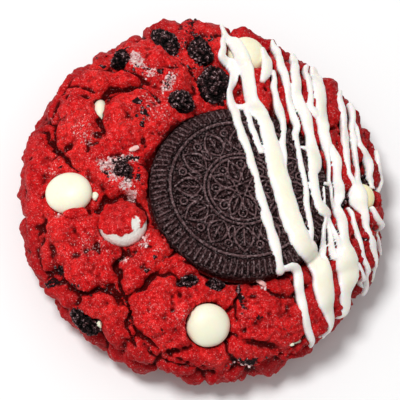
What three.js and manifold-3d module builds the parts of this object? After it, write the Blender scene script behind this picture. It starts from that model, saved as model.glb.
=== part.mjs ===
// Red velvet cookie, baked with white chocolate chips and dark biscuit chunks, with a round
// embossed chocolate biscuit pressed into its top and white chocolate drizzled over one side.
// Millimetres, +Z up. The cookie stands on z = 0 with its foot centred on the origin, and +Y
// is the side that the photo shows at the top.

import * as THREE from 'three';
import { mergeVertices } from 'three/addons/utils/BufferGeometryUtils.js';
import Module from 'manifold-3d';

const wasm = await Module();
wasm.setup();

const GAP = 0.3;
const UP = new THREE.Vector3(0, 0, 1);

// ---------------------------------------------------------------- driving dimensions

const COOKIE_RADIUS = 45.2;
const COOKIE_HEIGHT = 25.4;
const WIDEST_HEIGHT = 9;
const SHOULDER_POWER = 2.8;
const FOOT_INSET = 5;
const BASE_ROUNDING = 3;

const CREVICE_DEPTH = 1.6;
const LUMP_SOFTNESS = 0.35;
const LUMP_FULLNESS = 2.4;
const UNEVENNESS = 0.28;

const BISCUIT_RADIUS = 22.25;
const BISCUIT_THICKNESS = 5;
const BISCUIT_CENTRE = [7.3, -1.85];
const BISCUIT_TOP = 26;
const BISCUIT_LEAN = THREE.MathUtils.degToRad(5.5);
const BISCUIT_LEAN_TOWARD = THREE.MathUtils.degToRad(65);
const EMBOSSED_RADIUS = 18.2;
const RIM_DROP = 2.3;
const FLUTE_COUNT = 90;
const FLUTE_HEIGHT = 0.28;
const EMBOSSING = 0.4;
const PETAL_COUNT = 12;
const ROSETTE_COUNT = 8;

const DRIZZLE_SINK = 1.2;
const DRIZZLE_STEP = 6;

// Lumps of dough: the two ends of each lump's ridge in plan, its radius and its rise. A place
// further out than the shoulder lies down the side by as much.
const TOP_LUMPS = [
  [-21, 13, -14, 20, 10, 3.4], [-33, 22, -32, 13, 7.5, 3.0], [-31, 28, -20, 27, 4.6, 3.0],
  [-31, 8, -26, 5, 6, 2.4], [-42, 12, -43, 3, 7, 3.0], [-37, 24, -34, 29, 5.5, 2.4],
  [-27, 33, -25, 35, 5, 2.2], [-17, 35, -11, 29, 8.5, 3.4], [-20, 41, -15, 43, 5, 2.4],
  [-5, 40, -4, 32, 4.5, 2.6], [-3, 45, 3, 46, 6, 3.6], [12, 45, 17, 44, 5, 3.4],
  [-11, 45, -7, 46, 5.5, 4.2], [20, 42, 23, 40, 5, 1.8], [27, 38, 33, 34, 5.5, 2.0],
  [-11, -44, -7, -45, 5, 3.0], [20, -40, 25, -39, 5.5, 2.6], [38, 27, 40, 23, 5.5, 2.8],
  [43, 17, 45, 9, 6, 3.0], [14, 30, 14, 23, 6, 2.4], [20, 31, 20, 22, 6, 2.4],
  [27, 26, 26, 15, 6.5, 2.6], [33, 29, 32, 22, 5.5, 3.0], [32, 13, 33, 5, 6, 2.8],
  [39, 19, 38, 12, 5, 2.6], [43, -3, 41, -5, 5.5, 3.2], [38, -9, 41, -15, 6, 2.8],
  [33, -13, 36, -20, 6, 2.8], [30, -24, 34, -29, 6, 1.8], [25, -28, 27, -34, 5.5, 3.0],
  [22, -23, 23, -24, 4, 2.2], [12, -33, 17, -35, 9.5, 3.6], [8, -40, 14, -40, 6, 2.6],
  [15, -25, 17, -26, 4.5, 2.8], [9, -27, 10, -29, 4.5, 2.4], [-1, -27, 4, -28, 4.5, 2.4],
  [-13, -30, -9, -35, 9.5, 3.6], [-12, -20.5, -7, -21, 4.5, 2.8], [-7, -27, -5, -28, 4, 2.2],
  [-13.5, -16.5, -16, -19, 5.5, 3.4], [-19, -24, -18, -21, 5, 3.2], [-36, -13, -31, -14, 8, 3.2],
  [-28, -20, -31, -23, 6.5, 3.2], [-40, -16, -40, -18, 5, 2.6], [-43, -7, -44, -1, 5.5, 2.8],
  [-25, -14, -26, -16, 4.5, 2.6], [-27, -30, -32, -31, 4.5, 3.0], [-24, -33, -22, -38, 5, 2.8],
  [-38, -25, -36, -27, 4.5, 3.4], [-24, 3, -20, 0, 5.5, 2.4], [-35, 1, -34, 3, 6, 2.2],
  [2, 36, 3, 40, 4, 2.2], [-6, -42, 2, -43, 6, 2.6], [-15, -42, -18, -41, 5.5, 2.6],
];
const SIDE_LUMPS = { count: 25, height: 7, radius: 7.4, rise: 3.0 };

// Crevices in the dough: width, depth, then the places that each runs through.
const CREVICES = [
  [2.0, 3.0, [-12, 20.5], [-16, 23.8], [-21, 25], [-25.2, 24.8], [-26.9, 22], [-27.4, 17.5], [-26.6, 12]],
  [1.6, 2.6, [-43.5, 20.5], [-41, 17.3], [-39, 12.5], [-37.5, 9.5], [-35.4, 6.7], [-33.2, 4.2], [-31.5, 2.8]],
  [1.8, 2.6, [-25, -9], [-23, -14], [-22.5, -20], [-22.3, -25], [-20.5, -29], [-21, -34], [-18, -40]],
  [1.8, 2.4, [-40, -19], [-36.5, -23.5], [-32, -26.5], [-27, -27.3], [-21.5, -28.5]],
  [1.6, 2.2, [-11.8, -19], [-14, -22.5], [-17.5, -26.5], [-20, -28.5]],
  [1.4, 1.8, [7, -25.5], [6, -29], [6, -34]],
  [1.6, 2.0, [-16, -41], [-9, -43], [-1, -44.5]],
  [1.8, 3.0, [29, 17], [31, 16.3], [34, 16.8]],
];
// The dough stands off from the biscuit's near rim: the first and last angle of that moat.
const MOAT = { width: 2.4, depth: 2.2, from: 232, to: 372, stand: 0.7 };

// White chocolate chips: place in plan, half size along x, y and up, and how far each stands proud.
const CHIPS = {
  chip_left: { at: [-34.5, -2.6], half: [5.7, 5.1, 3], proud: 2.3 },
  chip_bottom: { at: [-1, -35.2], half: [5.3, 5.2, 3], proud: 2.4 },
  chip_smeared: { at: [-21.6, -10.6], half: [5.8, 5.3, 3], proud: 2.7 },
  chip_crevice: { at: [-27, 20.2], half: [2, 3.4, 3], proud: -0.5 },
  chip_top: { at: [11, 36.4], half: [4.9, 5.4, 4.6], proud: 3.8, drizzled: true },
  chip_right: { at: [39.2, -1.2], half: [3.1, 3.5, 3], proud: 2.4, drizzled: true },
};

// Chunks of dark biscuit: place in plan, half sizes, turn in degrees and how far each is sunk.
const CHUNKS = {
  chunk_top_left: { at: [-9.8, 39.2], half: [2.9, 5.4, 2.8], turn: 20, sink: 0.3 },
  chunk_top_right: { at: [-1.4, 35.8], half: [3.2, 4.3, 2.8], turn: 15, sink: 0.8 },
  chunk_ball: { at: [-6.8, 21], half: [3.1, 3.1, 3.0], turn: 0, sink: 0.2 },
  chunk_large: { at: [2, 26.8], half: [4.0, 5.2, 3.4], turn: -15, sink: 0.8 },
  chunk_upper_left: { at: [-21, 32.6], half: [2.6, 2.2, 2.2], turn: 30, sink: 0.5 },
  chunk_left: { at: [-21.4, 2.8], half: [2.6, 1.9, 2.0], turn: 10, sink: 0.6 },
  chunk_lower_left: { at: [-30, -33.4], half: [4.6, 2.3, 2.6], turn: -42, sink: 0.4 },
  chunk_low: { at: [-6.2, -24.9], half: [2.5, 1.4, 1.8], turn: 8, sink: 0.5 },
  chunk_rim: { at: [0.4, -25.8], half: [2.3, 1.5, 1.8], turn: 0, sink: 0.5 },
  chunk_right: { at: [34.1, -2.6], half: [1.2, 2.5, 1.8], turn: -20, sink: 0.4 },
  chunk_far_right: { at: [41.4, 4], half: [1.5, 2.2, 1.8], turn: 5, sink: 0.4 },
};

// White chocolate drizzle: each line's places in plan with its width there, from far to near.
const DRIZZLE = [
  [[5.2, 40.4, 1.5], [4.4, 36.5, 1.6], [4.4, 33.7, 2.1], [6.9, 30.2, 2.1], [5.7, 24.8, 1.6],
    [6.5, 19.5, 2.2], [7.6, 14, 2], [8.8, 10, 2], [10.3, 3.6, 2], [11.6, -2.8, 2.1], [12.9, -9, 2.4],
    [14.4, -15, 2.5], [15.8, -21.6, 2.1]],
  [[9.6, 20, 1.6], [10.6, 14, 1.6], [12.6, 8.4, 1.7]],
  [[5.4, 42.6, 1.4], [6.8, 39, 2.4], [8.1, 35.2, 3], [9.7, 30.6, 3.2], [10.4, 24.4, 2.9], [12, 19.4, 3.3],
    [14.3, 14, 3.8], [15.4, 8, 4.4], [16.8, 1, 5.1], [18.1, -5, 5], [19.8, -12, 5.1],
    [22.6, -16.6, 4.8], [26.4, -18.9, 5.2], [27.5, -24.5, 5.2], [29, -29.8, 3.6], [31.4, -36, 2.2]],
  [[14.6, 35.2, 2], [15.2, 32, 2.9], [13.9, 27.8, 1.8]],
  [[16.7, 29, 1.3], [16.6, 23.6, 1.6], [18, 18.5, 2], [18.3, 12, 1.5], [18.2, 5, 1.2]],
  [[18.6, 38.8, 1.4], [19, 34, 2], [19.5, 28, 1.8], [20.4, 21.5, 1.7], [21.7, 14.5, 1.7],
    [22.1, 6, 1.4], [23.1, -3, 1.4], [23.7, -12.5, 1.3]],
  [[23.3, 36.6, 1.8], [22.3, 30, 2.4], [22.2, 24.4, 2.7], [24.2, 17.2, 2.5], [25.1, 12, 2.3],
    [25.8, 6.6, 3.8], [25.2, 0, 2.4], [27.1, -6.3, 3.2]],
  [[26.1, 33, 1.4], [25.8, 26.5, 1.4], [25.4, 21, 1.6]],
  [[28.6, 33.6, 2.3], [28.1, 27, 3], [28.2, 19.5, 3.3], [28.3, 14, 2.6], [29.4, 10.2, 2.2],
    [31.1, 7.2, 2.1], [31.6, 3, 1.9], [32.5, -1.2, 2.3], [32.1, -6.5, 2.3], [32.3, -12.3, 2.4],
    [33.3, -18, 5.4], [33.8, -22.7, 4.2], [33.7, -27, 2.8], [34.8, -31.4, 1.8]],
  [[33.9, 26, 1.3], [34, 20, 1.7], [34.4, 14, 2.1], [33.9, 8, 1.6], [35.6, 2, 1.4]],
  [[36.9, 22, 1.1], [36.8, 16, 1.1], [36.5, 10, 1.3], [37, 4.7, 1.5], [36.7, -0.8, 3.4],
    [37.9, -5.6, 1.8], [39.2, -10.4, 1.4], [41, -14.5, 1.6], [44, -19, 1]],
  [[38.2, 12, 1.2], [41, 8, 1.3], [42.5, 3.2, 1.2]],
  [[35.3, -7, 1], [36.6, -12, 1.3], [38.5, -17.5, 1.2], [42.4, -23, 1.1]],
  [[40.5, -5.2, 1.2], [44, -7.6, 1.3], [47, -11.4, 1]],
  [[18.4, -21, 1.7], [20.8, -22.6, 2.3], [21.1, -26.5, 2.2], [22, -31, 2], [24.2, -35.8, 1.5],
    [27.6, -39.8, 1]],
];

// ---------------------------------------------------------------- the dough's surface

// Cross-section of the smooth cookie, from the pole down to the foot, with its outward normal.
function profilePoint(t) {
  const crown = COOKIE_HEIGHT - WIDEST_HEIGHT;
  if (t <= 1) {
    const phi = (t * Math.PI) / 2;
    const r = COOKIE_RADIUS * Math.sin(phi) ** (2 / SHOULDER_POWER);
    const z = WIDEST_HEIGHT + crown * Math.cos(phi) ** (2 / SHOULDER_POWER);
    return [r, z];
  }
  const down = t - 1;
  return [COOKIE_RADIUS - FOOT_INSET * down * down, WIDEST_HEIGHT * (1 - down)];
}

// The same section as a list of stations along its length.
function walkProfile(steps) {
  const stations = [];
  let length = 0;
  for (let i = 0; i <= steps; i++) {
    const [r, z] = profilePoint((2 * i) / steps);
    const last = stations[i - 1];
    if (last) length += Math.hypot(r - last.r, z - last.z);
    stations.push({ s: length, r, z });
  }
  return stations;
}

const stations = walkProfile(600);
const PROFILE_LENGTH = stations[stations.length - 1].s;

function stationWhere(reached) {
  const index = stations.findIndex(reached);
  return Math.max(1, index < 0 ? stations.length - 1 : index);
}

// A place on the smooth cookie and the normal there, from the length s down the section.
function alongProfile(s, angle) {
  const i = stationWhere((station) => station.s >= s);
  const a = stations[i - 1];
  const b = stations[i];
  const f = THREE.MathUtils.clamp((s - a.s) / (b.s - a.s), 0, 1);
  const r = a.r + f * (b.r - a.r);
  const z = a.z + f * (b.z - a.z);
  const c = Math.cos(angle);
  const n = Math.sin(angle);
  const normal = new THREE.Vector3((a.z - b.z) * c, (a.z - b.z) * n, b.r - a.r).normalize();
  return { point: new THREE.Vector3(r * c, r * n, z), normal };
}

const SHOULDER_START = 0.97 * COOKIE_RADIUS;
const SHOULDER_S = stations[stationWhere((station) => station.r >= SHOULDER_START)].s;

// A place in plan, carried up onto the smooth cookie.
function lift(x, y) {
  const r = Math.hypot(x, y);
  const past = r - SHOULDER_START;
  const s = past > 0 ? SHOULDER_S + past : stations[stationWhere((station) => station.r >= r)].s;
  return alongProfile(s, Math.atan2(y, x));
}

function distanceToRidge(p, a, b) {
  const along = b.clone().sub(a);
  const f = THREE.MathUtils.clamp(p.clone().sub(a).dot(along) / along.lengthSq(), 0, 1);
  return p.distanceTo(a.clone().addScaledVector(along, f));
}

// A number between 0 and 1 that only depends on its seed.
function seeded(seed) {
  const x = Math.sin(seed * 127.1 + 311.7) * 43758.5453;
  return x - Math.floor(x);
}

function makeLumps() {
  const lumps = TOP_LUMPS.map(([x1, y1, x2, y2, radius, rise]) => (
    { a: lift(x1, y1).point, b: lift(x2, y2).point, radius, rise }));
  for (let i = 0; i < SIDE_LUMPS.count; i++) {
    const angle = ((i + 0.5 * seeded(i)) * 2 * Math.PI) / SIDE_LUMPS.count;
    const height = SIDE_LUMPS.height * (0.5 + 0.9 * seeded(i + 40));
    const spread = 0.08 * (seeded(i + 80) - 0.5);
    const ends = [angle - spread, angle + spread].map((turn) => (
      new THREE.Vector3(COOKIE_RADIUS * Math.cos(turn), COOKIE_RADIUS * Math.sin(turn), height)));
    const radius = SIDE_LUMPS.radius * (0.8 + 0.4 * seeded(i + 120));
    lumps.push({ a: ends[0], b: ends[1], radius, rise: SIDE_LUMPS.rise * (0.75 + 0.4 * seeded(i + 160)) });
  }
  return lumps;
}

const lumps = makeLumps();

function unevenness(p) {
  return UNEVENNESS * (
    Math.sin(0.62 * p.x + 0.31 * p.y + 0.4 * p.z + 1.3)
    + Math.sin(-0.41 * p.x + 0.73 * p.y + 0.52 * p.z + 4.1)
    + Math.sin(0.93 * p.x - 0.22 * p.y + 0.8 * p.z + 2.2));
}

// How far the dough stands out from the smooth cookie: the lumps flow into each other.
function relief(p) {
  let sum = 1;
  for (const { a, b, radius, rise } of lumps) {
    const q = distanceToRidge(p, a, b) / radius;
    if (q < 1.7) sum += Math.exp((rise * (1 - q ** LUMP_FULLNESS)) / LUMP_SOFTNESS);
  }
  return LUMP_SOFTNESS * Math.log(sum) - CREVICE_DEPTH + unevenness(p);
}

function raise({ point, normal }, extra = 0) {
  const settle = THREE.MathUtils.smoothstep(point.z, 0, BASE_ROUNDING);
  const push = normal.clone();
  push.z *= settle;
  return point.clone().addScaledVector(push, relief(point) + extra);
}

// ---------------------------------------------------------------- solids

function toSolid(geometry) {
  const bare = geometry.clone();
  bare.deleteAttribute('normal');
  bare.deleteAttribute('uv');
  const merged = mergeVertices(bare, 1e-4);
  return new wasm.Manifold(new wasm.Mesh({
    numProp: 3,
    vertProperties: new Float32Array(merged.attributes.position.array),
    triVerts: new Uint32Array(merged.index.array),
  }));
}

function toGeometry(solid) {
  const { vertProperties, triVerts } = solid.getMesh();
  const geometry = new THREE.BufferGeometry();
  geometry.setAttribute('position', new THREE.BufferAttribute(new Float32Array(vertProperties), 3));
  geometry.setIndex(new THREE.BufferAttribute(new Uint32Array(triVerts), 1));
  geometry.computeVertexNormals();
  return geometry;
}

function largestPiece(solid) {
  const pieces = solid.decompose();
  return pieces.reduce((best, piece) => (piece.volume() > best.volume() ? piece : best));
}

function meshGeometry(points, faces) {
  const geometry = new THREE.BufferGeometry();
  geometry.setAttribute('position', new THREE.Float32BufferAttribute(points.flatMap((p) => p.toArray()), 3));
  geometry.setIndex(faces.flat());
  return geometry;
}

// A closed form through equal rings of points that turn anticlockwise seen from the start.
function sweep(rings) {
  const sides = rings[0].length;
  const faces = [];
  for (let k = 0; k + 1 < rings.length; k++) {
    for (let i = 0; i < sides; i++) {
      const j = (i + 1) % sides;
      faces.push([k * sides + i, (k + 1) * sides + i, (k + 1) * sides + j]);
      faces.push([k * sides + i, (k + 1) * sides + j, k * sides + j]);
    }
  }
  const last = (rings.length - 1) * sides;
  for (let i = 1; i + 1 < sides; i++) {
    faces.push([0, i, i + 1]);
    faces.push([last, last + i + 1, last + i]);
  }
  return meshGeometry(rings.flat(), faces);
}

// A form of revolution-like rings between two poles, with rings of equal count.
function shell(bottom, rings, top) {
  const sides = rings[0].length;
  const points = [bottom, ...rings.flat(), top];
  const faces = [];
  for (let i = 0; i < sides; i++) {
    const j = (i + 1) % sides;
    faces.push([0, 1 + j, 1 + i]);
    for (let k = 0; k + 1 < rings.length; k++) {
      const low = 1 + k * sides;
      faces.push([low + i, low + j, low + sides + j], [low + i, low + sides + j, low + sides + i]);
    }
    const high = 1 + (rings.length - 1) * sides;
    faces.push([points.length - 1, high + i, high + j]);
  }
  return meshGeometry(points, faces);
}

// ---------------------------------------------------------------- dough

function doughBody() {
  const columns = 70;
  const ringCount = 16;
  const firstRing = 9;
  const rings = [];
  for (let k = ringCount; k >= 0; k--) {
    const s = firstRing + ((PROFILE_LENGTH - firstRing) * k) / ringCount;
    rings.push(Array.from({ length: columns }, (_, i) => (
      raise(alongProfile(s, ((i + 0.5 * (k % 2)) * 2 * Math.PI) / columns)))));
  }
  return shell(new THREE.Vector3(0, 0, 0), rings, raise(alongProfile(0, 0)));
}

// The directions along, across and out of the surface at each step of a path.
function frames(places, at) {
  const spots = places.map((place) => at(place));
  return spots.map((spot, i) => {
    const before = spots[Math.max(0, i - 1)].point;
    const after = spots[Math.min(spots.length - 1, i + 1)].point;
    const along = after.clone().sub(before).normalize();
    const across = along.clone().cross(spot.normal).normalize();
    return { ...spot, across, place: places[i] };
  });
}

function creviceBody(width, depth, places) {
  const curve = new THREE.CatmullRomCurve3(places.map(([x, y]) => new THREE.Vector3(x, y, 0)));
  const steps = Math.ceil(curve.getLength() / 3.5);
  const path = curve.getSpacedPoints(steps);
  const spots = frames(path, ({ x, y }) => {
    const spot = lift(x, y);
    return { point: raise(spot), normal: spot.normal };
  });
  return sweep(spots.map(({ point, normal, across }, i) => {
    const fade = 0.35 + 0.65 * Math.sin((Math.PI * (i + 0.5)) / (spots.length)) ** 0.6;
    const top = 2;
    return [
      point.clone().addScaledVector(across, width * fade).addScaledVector(normal, top),
      point.clone().addScaledVector(across, -width * fade).addScaledVector(normal, top),
      point.clone().addScaledVector(normal, -depth * fade),
    ];
  }));
}

// ---------------------------------------------------------------- embossed biscuit

function biscuitHeight(r, angle) {
  const past = (r - EMBOSSED_RADIUS) / (BISCUIT_RADIUS - EMBOSSED_RADIUS);
  if (past >= 0) {
    const flute = FLUTE_HEIGHT * Math.cos(FLUTE_COUNT * angle) * Math.sin(Math.PI * past);
    return flute - RIM_DROP * past ** 1.6;
  }
  const ring = (radius, width) => Math.max(0, 1 - ((r - radius) / width) ** 2);
  const lobe = (count, from, to) => (
    r > from && r < to
      ? Math.max(0, Math.cos(count * angle)) * Math.sin((Math.PI * (r - from)) / (to - from)) : 0);
  const petals = Math.max(lobe(PETAL_COUNT, 9.6, 16.6), lobe(ROSETTE_COUNT, 0, 7));
  const raised = Math.max(ring(17.5, 0.7), ring(8.6, 0.6), petals);
  return EMBOSSING * (raised - 1);
}

// Rings of the biscuit's face, then its fluted rim, its side and its underside.
function biscuitBody() {
  const columns = 72;
  const faceRadii = [6.9, 8, 8.6, 9.4, 12, 14.4, 16.7, 17.5, EMBOSSED_RADIUS];
  const points = [new THREE.Vector3(0, 0, biscuitHeight(0, 0))];
  const faces = [];
  const addRing = (r, count, height) => {
    const start = points.length;
    for (let i = 0; i < count; i++) {
      const angle = (i * 2 * Math.PI) / count;
      points.push(new THREE.Vector3(r * Math.cos(angle), r * Math.sin(angle), height(r, angle)));
    }
    return { start, count };
  };
  const join = (inner, outer) => {
    let i = 0;
    let j = 0;
    while (i < inner.count || j < outer.count) {
      const here = inner.start + (i % inner.count);
      const there = outer.start + (j % outer.count);
      if ((j + 1) * inner.count <= (i + 1) * outer.count) {
        j += 1;
        faces.push([here, there, outer.start + (j % outer.count)]);
      } else {
        i += 1;
        faces.push([here, there, inner.start + (i % inner.count)]);
      }
    }
  };
  let inner = addRing(3.4, columns, biscuitHeight);
  for (let i = 0; i < columns; i++) faces.push([0, inner.start + i, inner.start + ((i + 1) % columns)]);
  const outwards = [
    ...faceRadii.map((r) => [r, columns, biscuitHeight]),
    [(EMBOSSED_RADIUS + BISCUIT_RADIUS) / 2, 2 * FLUTE_COUNT, biscuitHeight],
    [BISCUIT_RADIUS, columns, biscuitHeight],
    [BISCUIT_RADIUS - 0.4, columns, () => -BISCUIT_THICKNESS],
  ];
  for (const ring of outwards) {
    const outer = addRing(...ring);
    join(inner, outer);
    inner = outer;
  }
  points.push(new THREE.Vector3(0, 0, -BISCUIT_THICKNESS));
  for (let i = 0; i < columns; i++) {
    faces.push([points.length - 1, inner.start + ((i + 1) % columns), inner.start + i]);
  }
  return meshGeometry(points, faces);
}

const biscuitPlace = new THREE.Object3D();
biscuitPlace.position.set(...BISCUIT_CENTRE, BISCUIT_TOP);
const leanAxis = new THREE.Vector3(-Math.sin(BISCUIT_LEAN_TOWARD), Math.cos(BISCUIT_LEAN_TOWARD), 0);
biscuitPlace.quaternion.setFromAxisAngle(leanAxis, BISCUIT_LEAN);
biscuitPlace.updateMatrix();

const biscuitNormal = UP.clone().applyQuaternion(biscuitPlace.quaternion);

// An upright drum round the biscuit's axis, for the hollow that it lies in.
function biscuitDrum(radius, from, to) {
  const drum = new THREE.CylinderGeometry(radius, radius, to - from, 60);
  drum.rotateX(Math.PI / 2);
  drum.translate(0, 0, (from + to) / 2);
  return drum.applyMatrix4(biscuitPlace.matrix);
}

function biscuitFace(x, y) {
  const dx = x - BISCUIT_CENTRE[0];
  const dy = y - BISCUIT_CENTRE[1];
  const z = BISCUIT_TOP - (biscuitNormal.x * dx + biscuitNormal.y * dy) / biscuitNormal.z;
  const drop = Math.max(0, (Math.hypot(dx, dy) - EMBOSSED_RADIUS) / (BISCUIT_RADIUS - EMBOSSED_RADIUS));
  return new THREE.Vector3(x, y, z).addScaledVector(biscuitNormal, -RIM_DROP * drop ** 1.6);
}

// ---------------------------------------------------------------- chips and chunks

function chipBody({ half }, grow) {
  const body = new THREE.SphereGeometry(1, 14, 8);
  body.rotateX(Math.PI / 2);
  return body.scale(...half.map((size) => size + grow));
}

function chunkBody({ half }, grow, seed) {
  const body = new THREE.IcosahedronGeometry(1, 1);
  body.deleteAttribute('normal');
  body.deleteAttribute('uv');
  const rough = mergeVertices(body, 1e-4);
  const at = rough.attributes.position;
  for (let i = 0; i < at.count; i++) {
    const bump = 0.86 + 0.28 * seeded(seed + i);
    at.setXYZ(i, at.getX(i) * bump, at.getY(i) * bump, at.getZ(i) * bump);
  }
  const stretch = half.map((size) => size + 1.25 * grow);
  return rough.scale(...stretch);
}

// An object that lies on the dough at a place in plan, with its own +Z out of the surface.
function lieOnDough([x, y], out, turn = 0) {
  const spot = lift(x, y);
  const place = new THREE.Object3D();
  place.position.copy(raise(spot, out));
  place.quaternion.setFromUnitVectors(UP, spot.normal);
  place.rotateZ(THREE.MathUtils.degToRad(turn));
  place.updateMatrix();
  return place;
}

const chipPlaces = Object.fromEntries(Object.entries(CHIPS).map(([name, chip]) => (
  [name, lieOnDough(chip.at, chip.proud - chip.half[2])])));
const chunkPlaces = Object.fromEntries(Object.entries(CHUNKS).map(([name, chunk]) => (
  [name, lieOnDough(chunk.at, -chunk.sink, chunk.turn)])));

// ---------------------------------------------------------------- drizzle

function chipTop(x, y) {
  for (const [name, { at, half }] of Object.entries(CHIPS)) {
    const q = ((x - at[0]) / half[0]) ** 2 + ((y - at[1]) / half[1]) ** 2;
    if (q < 0.9) {
      const place = chipPlaces[name];
      const normal = UP.clone().applyQuaternion(place.quaternion);
      const base = place.position;
      const z = base.z - (normal.x * (x - base.x) + normal.y * (y - base.y)) / normal.z;
      const point = new THREE.Vector3(x, y, z).addScaledVector(normal, half[2] * Math.sqrt(1 - q));
      return { point, normal };
    }
  }
  return null;
}

// What the drizzle lands on at a place in plan.
function topOf({ x, y }) {
  if (Math.hypot(x - BISCUIT_CENTRE[0], y - BISCUIT_CENTRE[1]) < BISCUIT_RADIUS + GAP) {
    return { point: biscuitFace(x, y), normal: biscuitNormal };
  }
  const spot = lift(x, y);
  return chipTop(x, y) ?? { point: raise(spot), normal: spot.normal };
}

function drizzleBody(line) {
  const curve = new THREE.CatmullRomCurve3(line.map((place) => new THREE.Vector3(...place)));
  const path = curve.getSpacedPoints(Math.ceil(curve.getLength() / DRIZZLE_STEP));
  const spots = frames(path, topOf);
  const section = [[-0.5, -1], [0.5, -1], [0.3, 1], [-0.3, 1]];
  return sweep(spots.map(({ point, normal, across, place }, i) => {
    const end = i === 0 || i === spots.length - 1 ? 0.6 : 1;
    const width = place.z * end;
    const height = (0.45 + 0.22 * place.z) * end;
    return section.map(([side, up]) => (
      point.clone()
        .addScaledVector(across, side * width)
        .addScaledVector(normal, up > 0 ? up * height : up * DRIZZLE_SINK)));
  }));
}

// ---------------------------------------------------------------- putting it together

const COLUMN_REACH = 14;

function column(name, { half }, grow) {
  const body = new THREE.CylinderGeometry(1, 1, COLUMN_REACH, 14);
  body.rotateX(Math.PI / 2);
  body.translate(0, 0, COLUMN_REACH / 2);
  body.scale(half[0] + grow, half[1] + grow, 1);
  return toSolid(body.applyMatrix4(chipPlaces[name].matrix));
}

const placed = (geometry, place) => toSolid(geometry.applyMatrix4(place.matrix));
const unite = (solids) => solids.reduce((whole, solid) => whole.add(solid));

const drizzle = unite(DRIZZLE.map((line) => toSolid(drizzleBody(line))));
const moatPlaces = [];
for (let angle = MOAT.from; angle <= MOAT.to; angle += 11) {
  const turn = THREE.MathUtils.degToRad(angle);
  const reach = BISCUIT_RADIUS + MOAT.stand;
  moatPlaces.push([BISCUIT_CENTRE[0] + reach * Math.cos(turn), BISCUIT_CENTRE[1] + reach * Math.sin(turn)]);
}
const crevices = unite([
  ...CREVICES.map(([width, depth, ...places]) => toSolid(creviceBody(width, depth, places))),
  toSolid(creviceBody(MOAT.width, MOAT.depth, moatPlaces)),
]);

let dough = toSolid(doughBody()).subtract(crevices).add(drizzle);
dough = dough.subtract(toSolid(biscuitDrum(BISCUIT_RADIUS + GAP, -BISCUIT_THICKNESS - GAP, COLUMN_REACH)));
for (const [name, chip] of Object.entries(CHIPS)) {
  dough = dough.subtract(placed(chipBody(chip, GAP), chipPlaces[name]));
  if (chip.drizzled) dough = dough.subtract(column(name, chip, GAP));
}
Object.entries(CHUNKS).forEach(([name, chunk], i) => {
  dough = dough.subtract(placed(chunkBody(chunk, GAP, 50 * i), chunkPlaces[name]));
});
dough = largestPiece(dough);

// A piece with the drizzle that lies on it, in the piece's own frame.
function withDrizzle(body, reach, place) {
  const lying = toGeometry(drizzle.intersect(reach)).applyMatrix4(place.matrix.clone().invert());
  return largestPiece(toSolid(body).add(toSolid(lying)));
}

const biscuitReach = toSolid(biscuitDrum(BISCUIT_RADIUS - 0.2, -2 * DRIZZLE_SINK, COLUMN_REACH));
const biscuit = withDrizzle(biscuitBody(), biscuitReach, biscuitPlace);

const material = (color, roughness) => new THREE.MeshStandardMaterial({ color, roughness, metalness: 0 });

const cookie = new THREE.Group();
function addNode(name, geometry, color, roughness, place) {
  const mesh = new THREE.Mesh(geometry, material(color, roughness));
  mesh.name = name;
  if (place) {
    mesh.position.copy(place.position);
    mesh.quaternion.copy(place.quaternion);
  }
  cookie.add(mesh);
}

addNode('dough', toGeometry(dough), 0xb3131c, 0.75);
addNode('biscuit', toGeometry(biscuit), 0x2e2122, 0.7, biscuitPlace);
for (const [name, chip] of Object.entries(CHIPS)) {
  const bare = chipBody(chip, 0);
  const body = chip.drizzled
    ? withDrizzle(bare, column(name, chip, -GAP / 2), chipPlaces[name]) : toSolid(bare);
  addNode(name, toGeometry(body), 0xf4eed6, 0.4, chipPlaces[name]);
}
Object.entries(CHUNKS).forEach(([name, chunk], i) => {
  addNode(name, toGeometry(toSolid(chunkBody(chunk, 0, 50 * i))), 0x231a1b, 0.8, chunkPlaces[name]);
});

export default cookie;
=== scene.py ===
import itertools
import math

import bmesh
import bpy
import numpy as np
from mathutils import Matrix, Vector


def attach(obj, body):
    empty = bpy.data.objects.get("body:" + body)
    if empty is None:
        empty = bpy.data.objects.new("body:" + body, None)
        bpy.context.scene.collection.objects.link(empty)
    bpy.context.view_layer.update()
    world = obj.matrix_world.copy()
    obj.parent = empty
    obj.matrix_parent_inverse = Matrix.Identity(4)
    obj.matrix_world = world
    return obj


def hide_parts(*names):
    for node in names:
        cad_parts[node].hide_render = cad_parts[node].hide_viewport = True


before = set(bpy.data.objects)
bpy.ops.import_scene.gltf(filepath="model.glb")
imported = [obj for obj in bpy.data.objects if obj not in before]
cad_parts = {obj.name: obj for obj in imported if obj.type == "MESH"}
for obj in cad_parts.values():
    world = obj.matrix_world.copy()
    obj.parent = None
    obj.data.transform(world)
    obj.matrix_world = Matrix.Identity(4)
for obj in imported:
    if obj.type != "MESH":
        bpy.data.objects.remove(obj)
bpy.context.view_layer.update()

# A red velvet cookie with an embossed chocolate biscuit pressed into it, white chocolate chips, dark
# biscuit chunks and white chocolate drizzle. Lengths in this file are millimetres until make_mesh
# turns them into metres. A "plan place" is x, y seen from above; further out than the shoulder it
# goes on down the side by as much.

MM = 0.001

# ---------------------------------------------------------------- driving dimensions

COOKIE_RADIUS = 45.2
COOKIE_HEIGHT = 25.4
WIDEST_HEIGHT = 9.0
SHOULDER_POWER = 2.8
FOOT_INSET = 5.0
BASE_ROUNDING = 3.0
SHOULDER_START = 0.97 * COOKIE_RADIUS

CREVICE_DEPTH = 2.2
LUMP_SOFTNESS = 0.3
LUMP_FULLNESS = 2.6
UNEVENNESS = 0.28
CREASE_DEPTH = 1.3
CREASE_WIDTH = 1.3
WARPS = ((6.0, 0.9), (2.8, 0.7), (1.2, 0.35))
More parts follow.
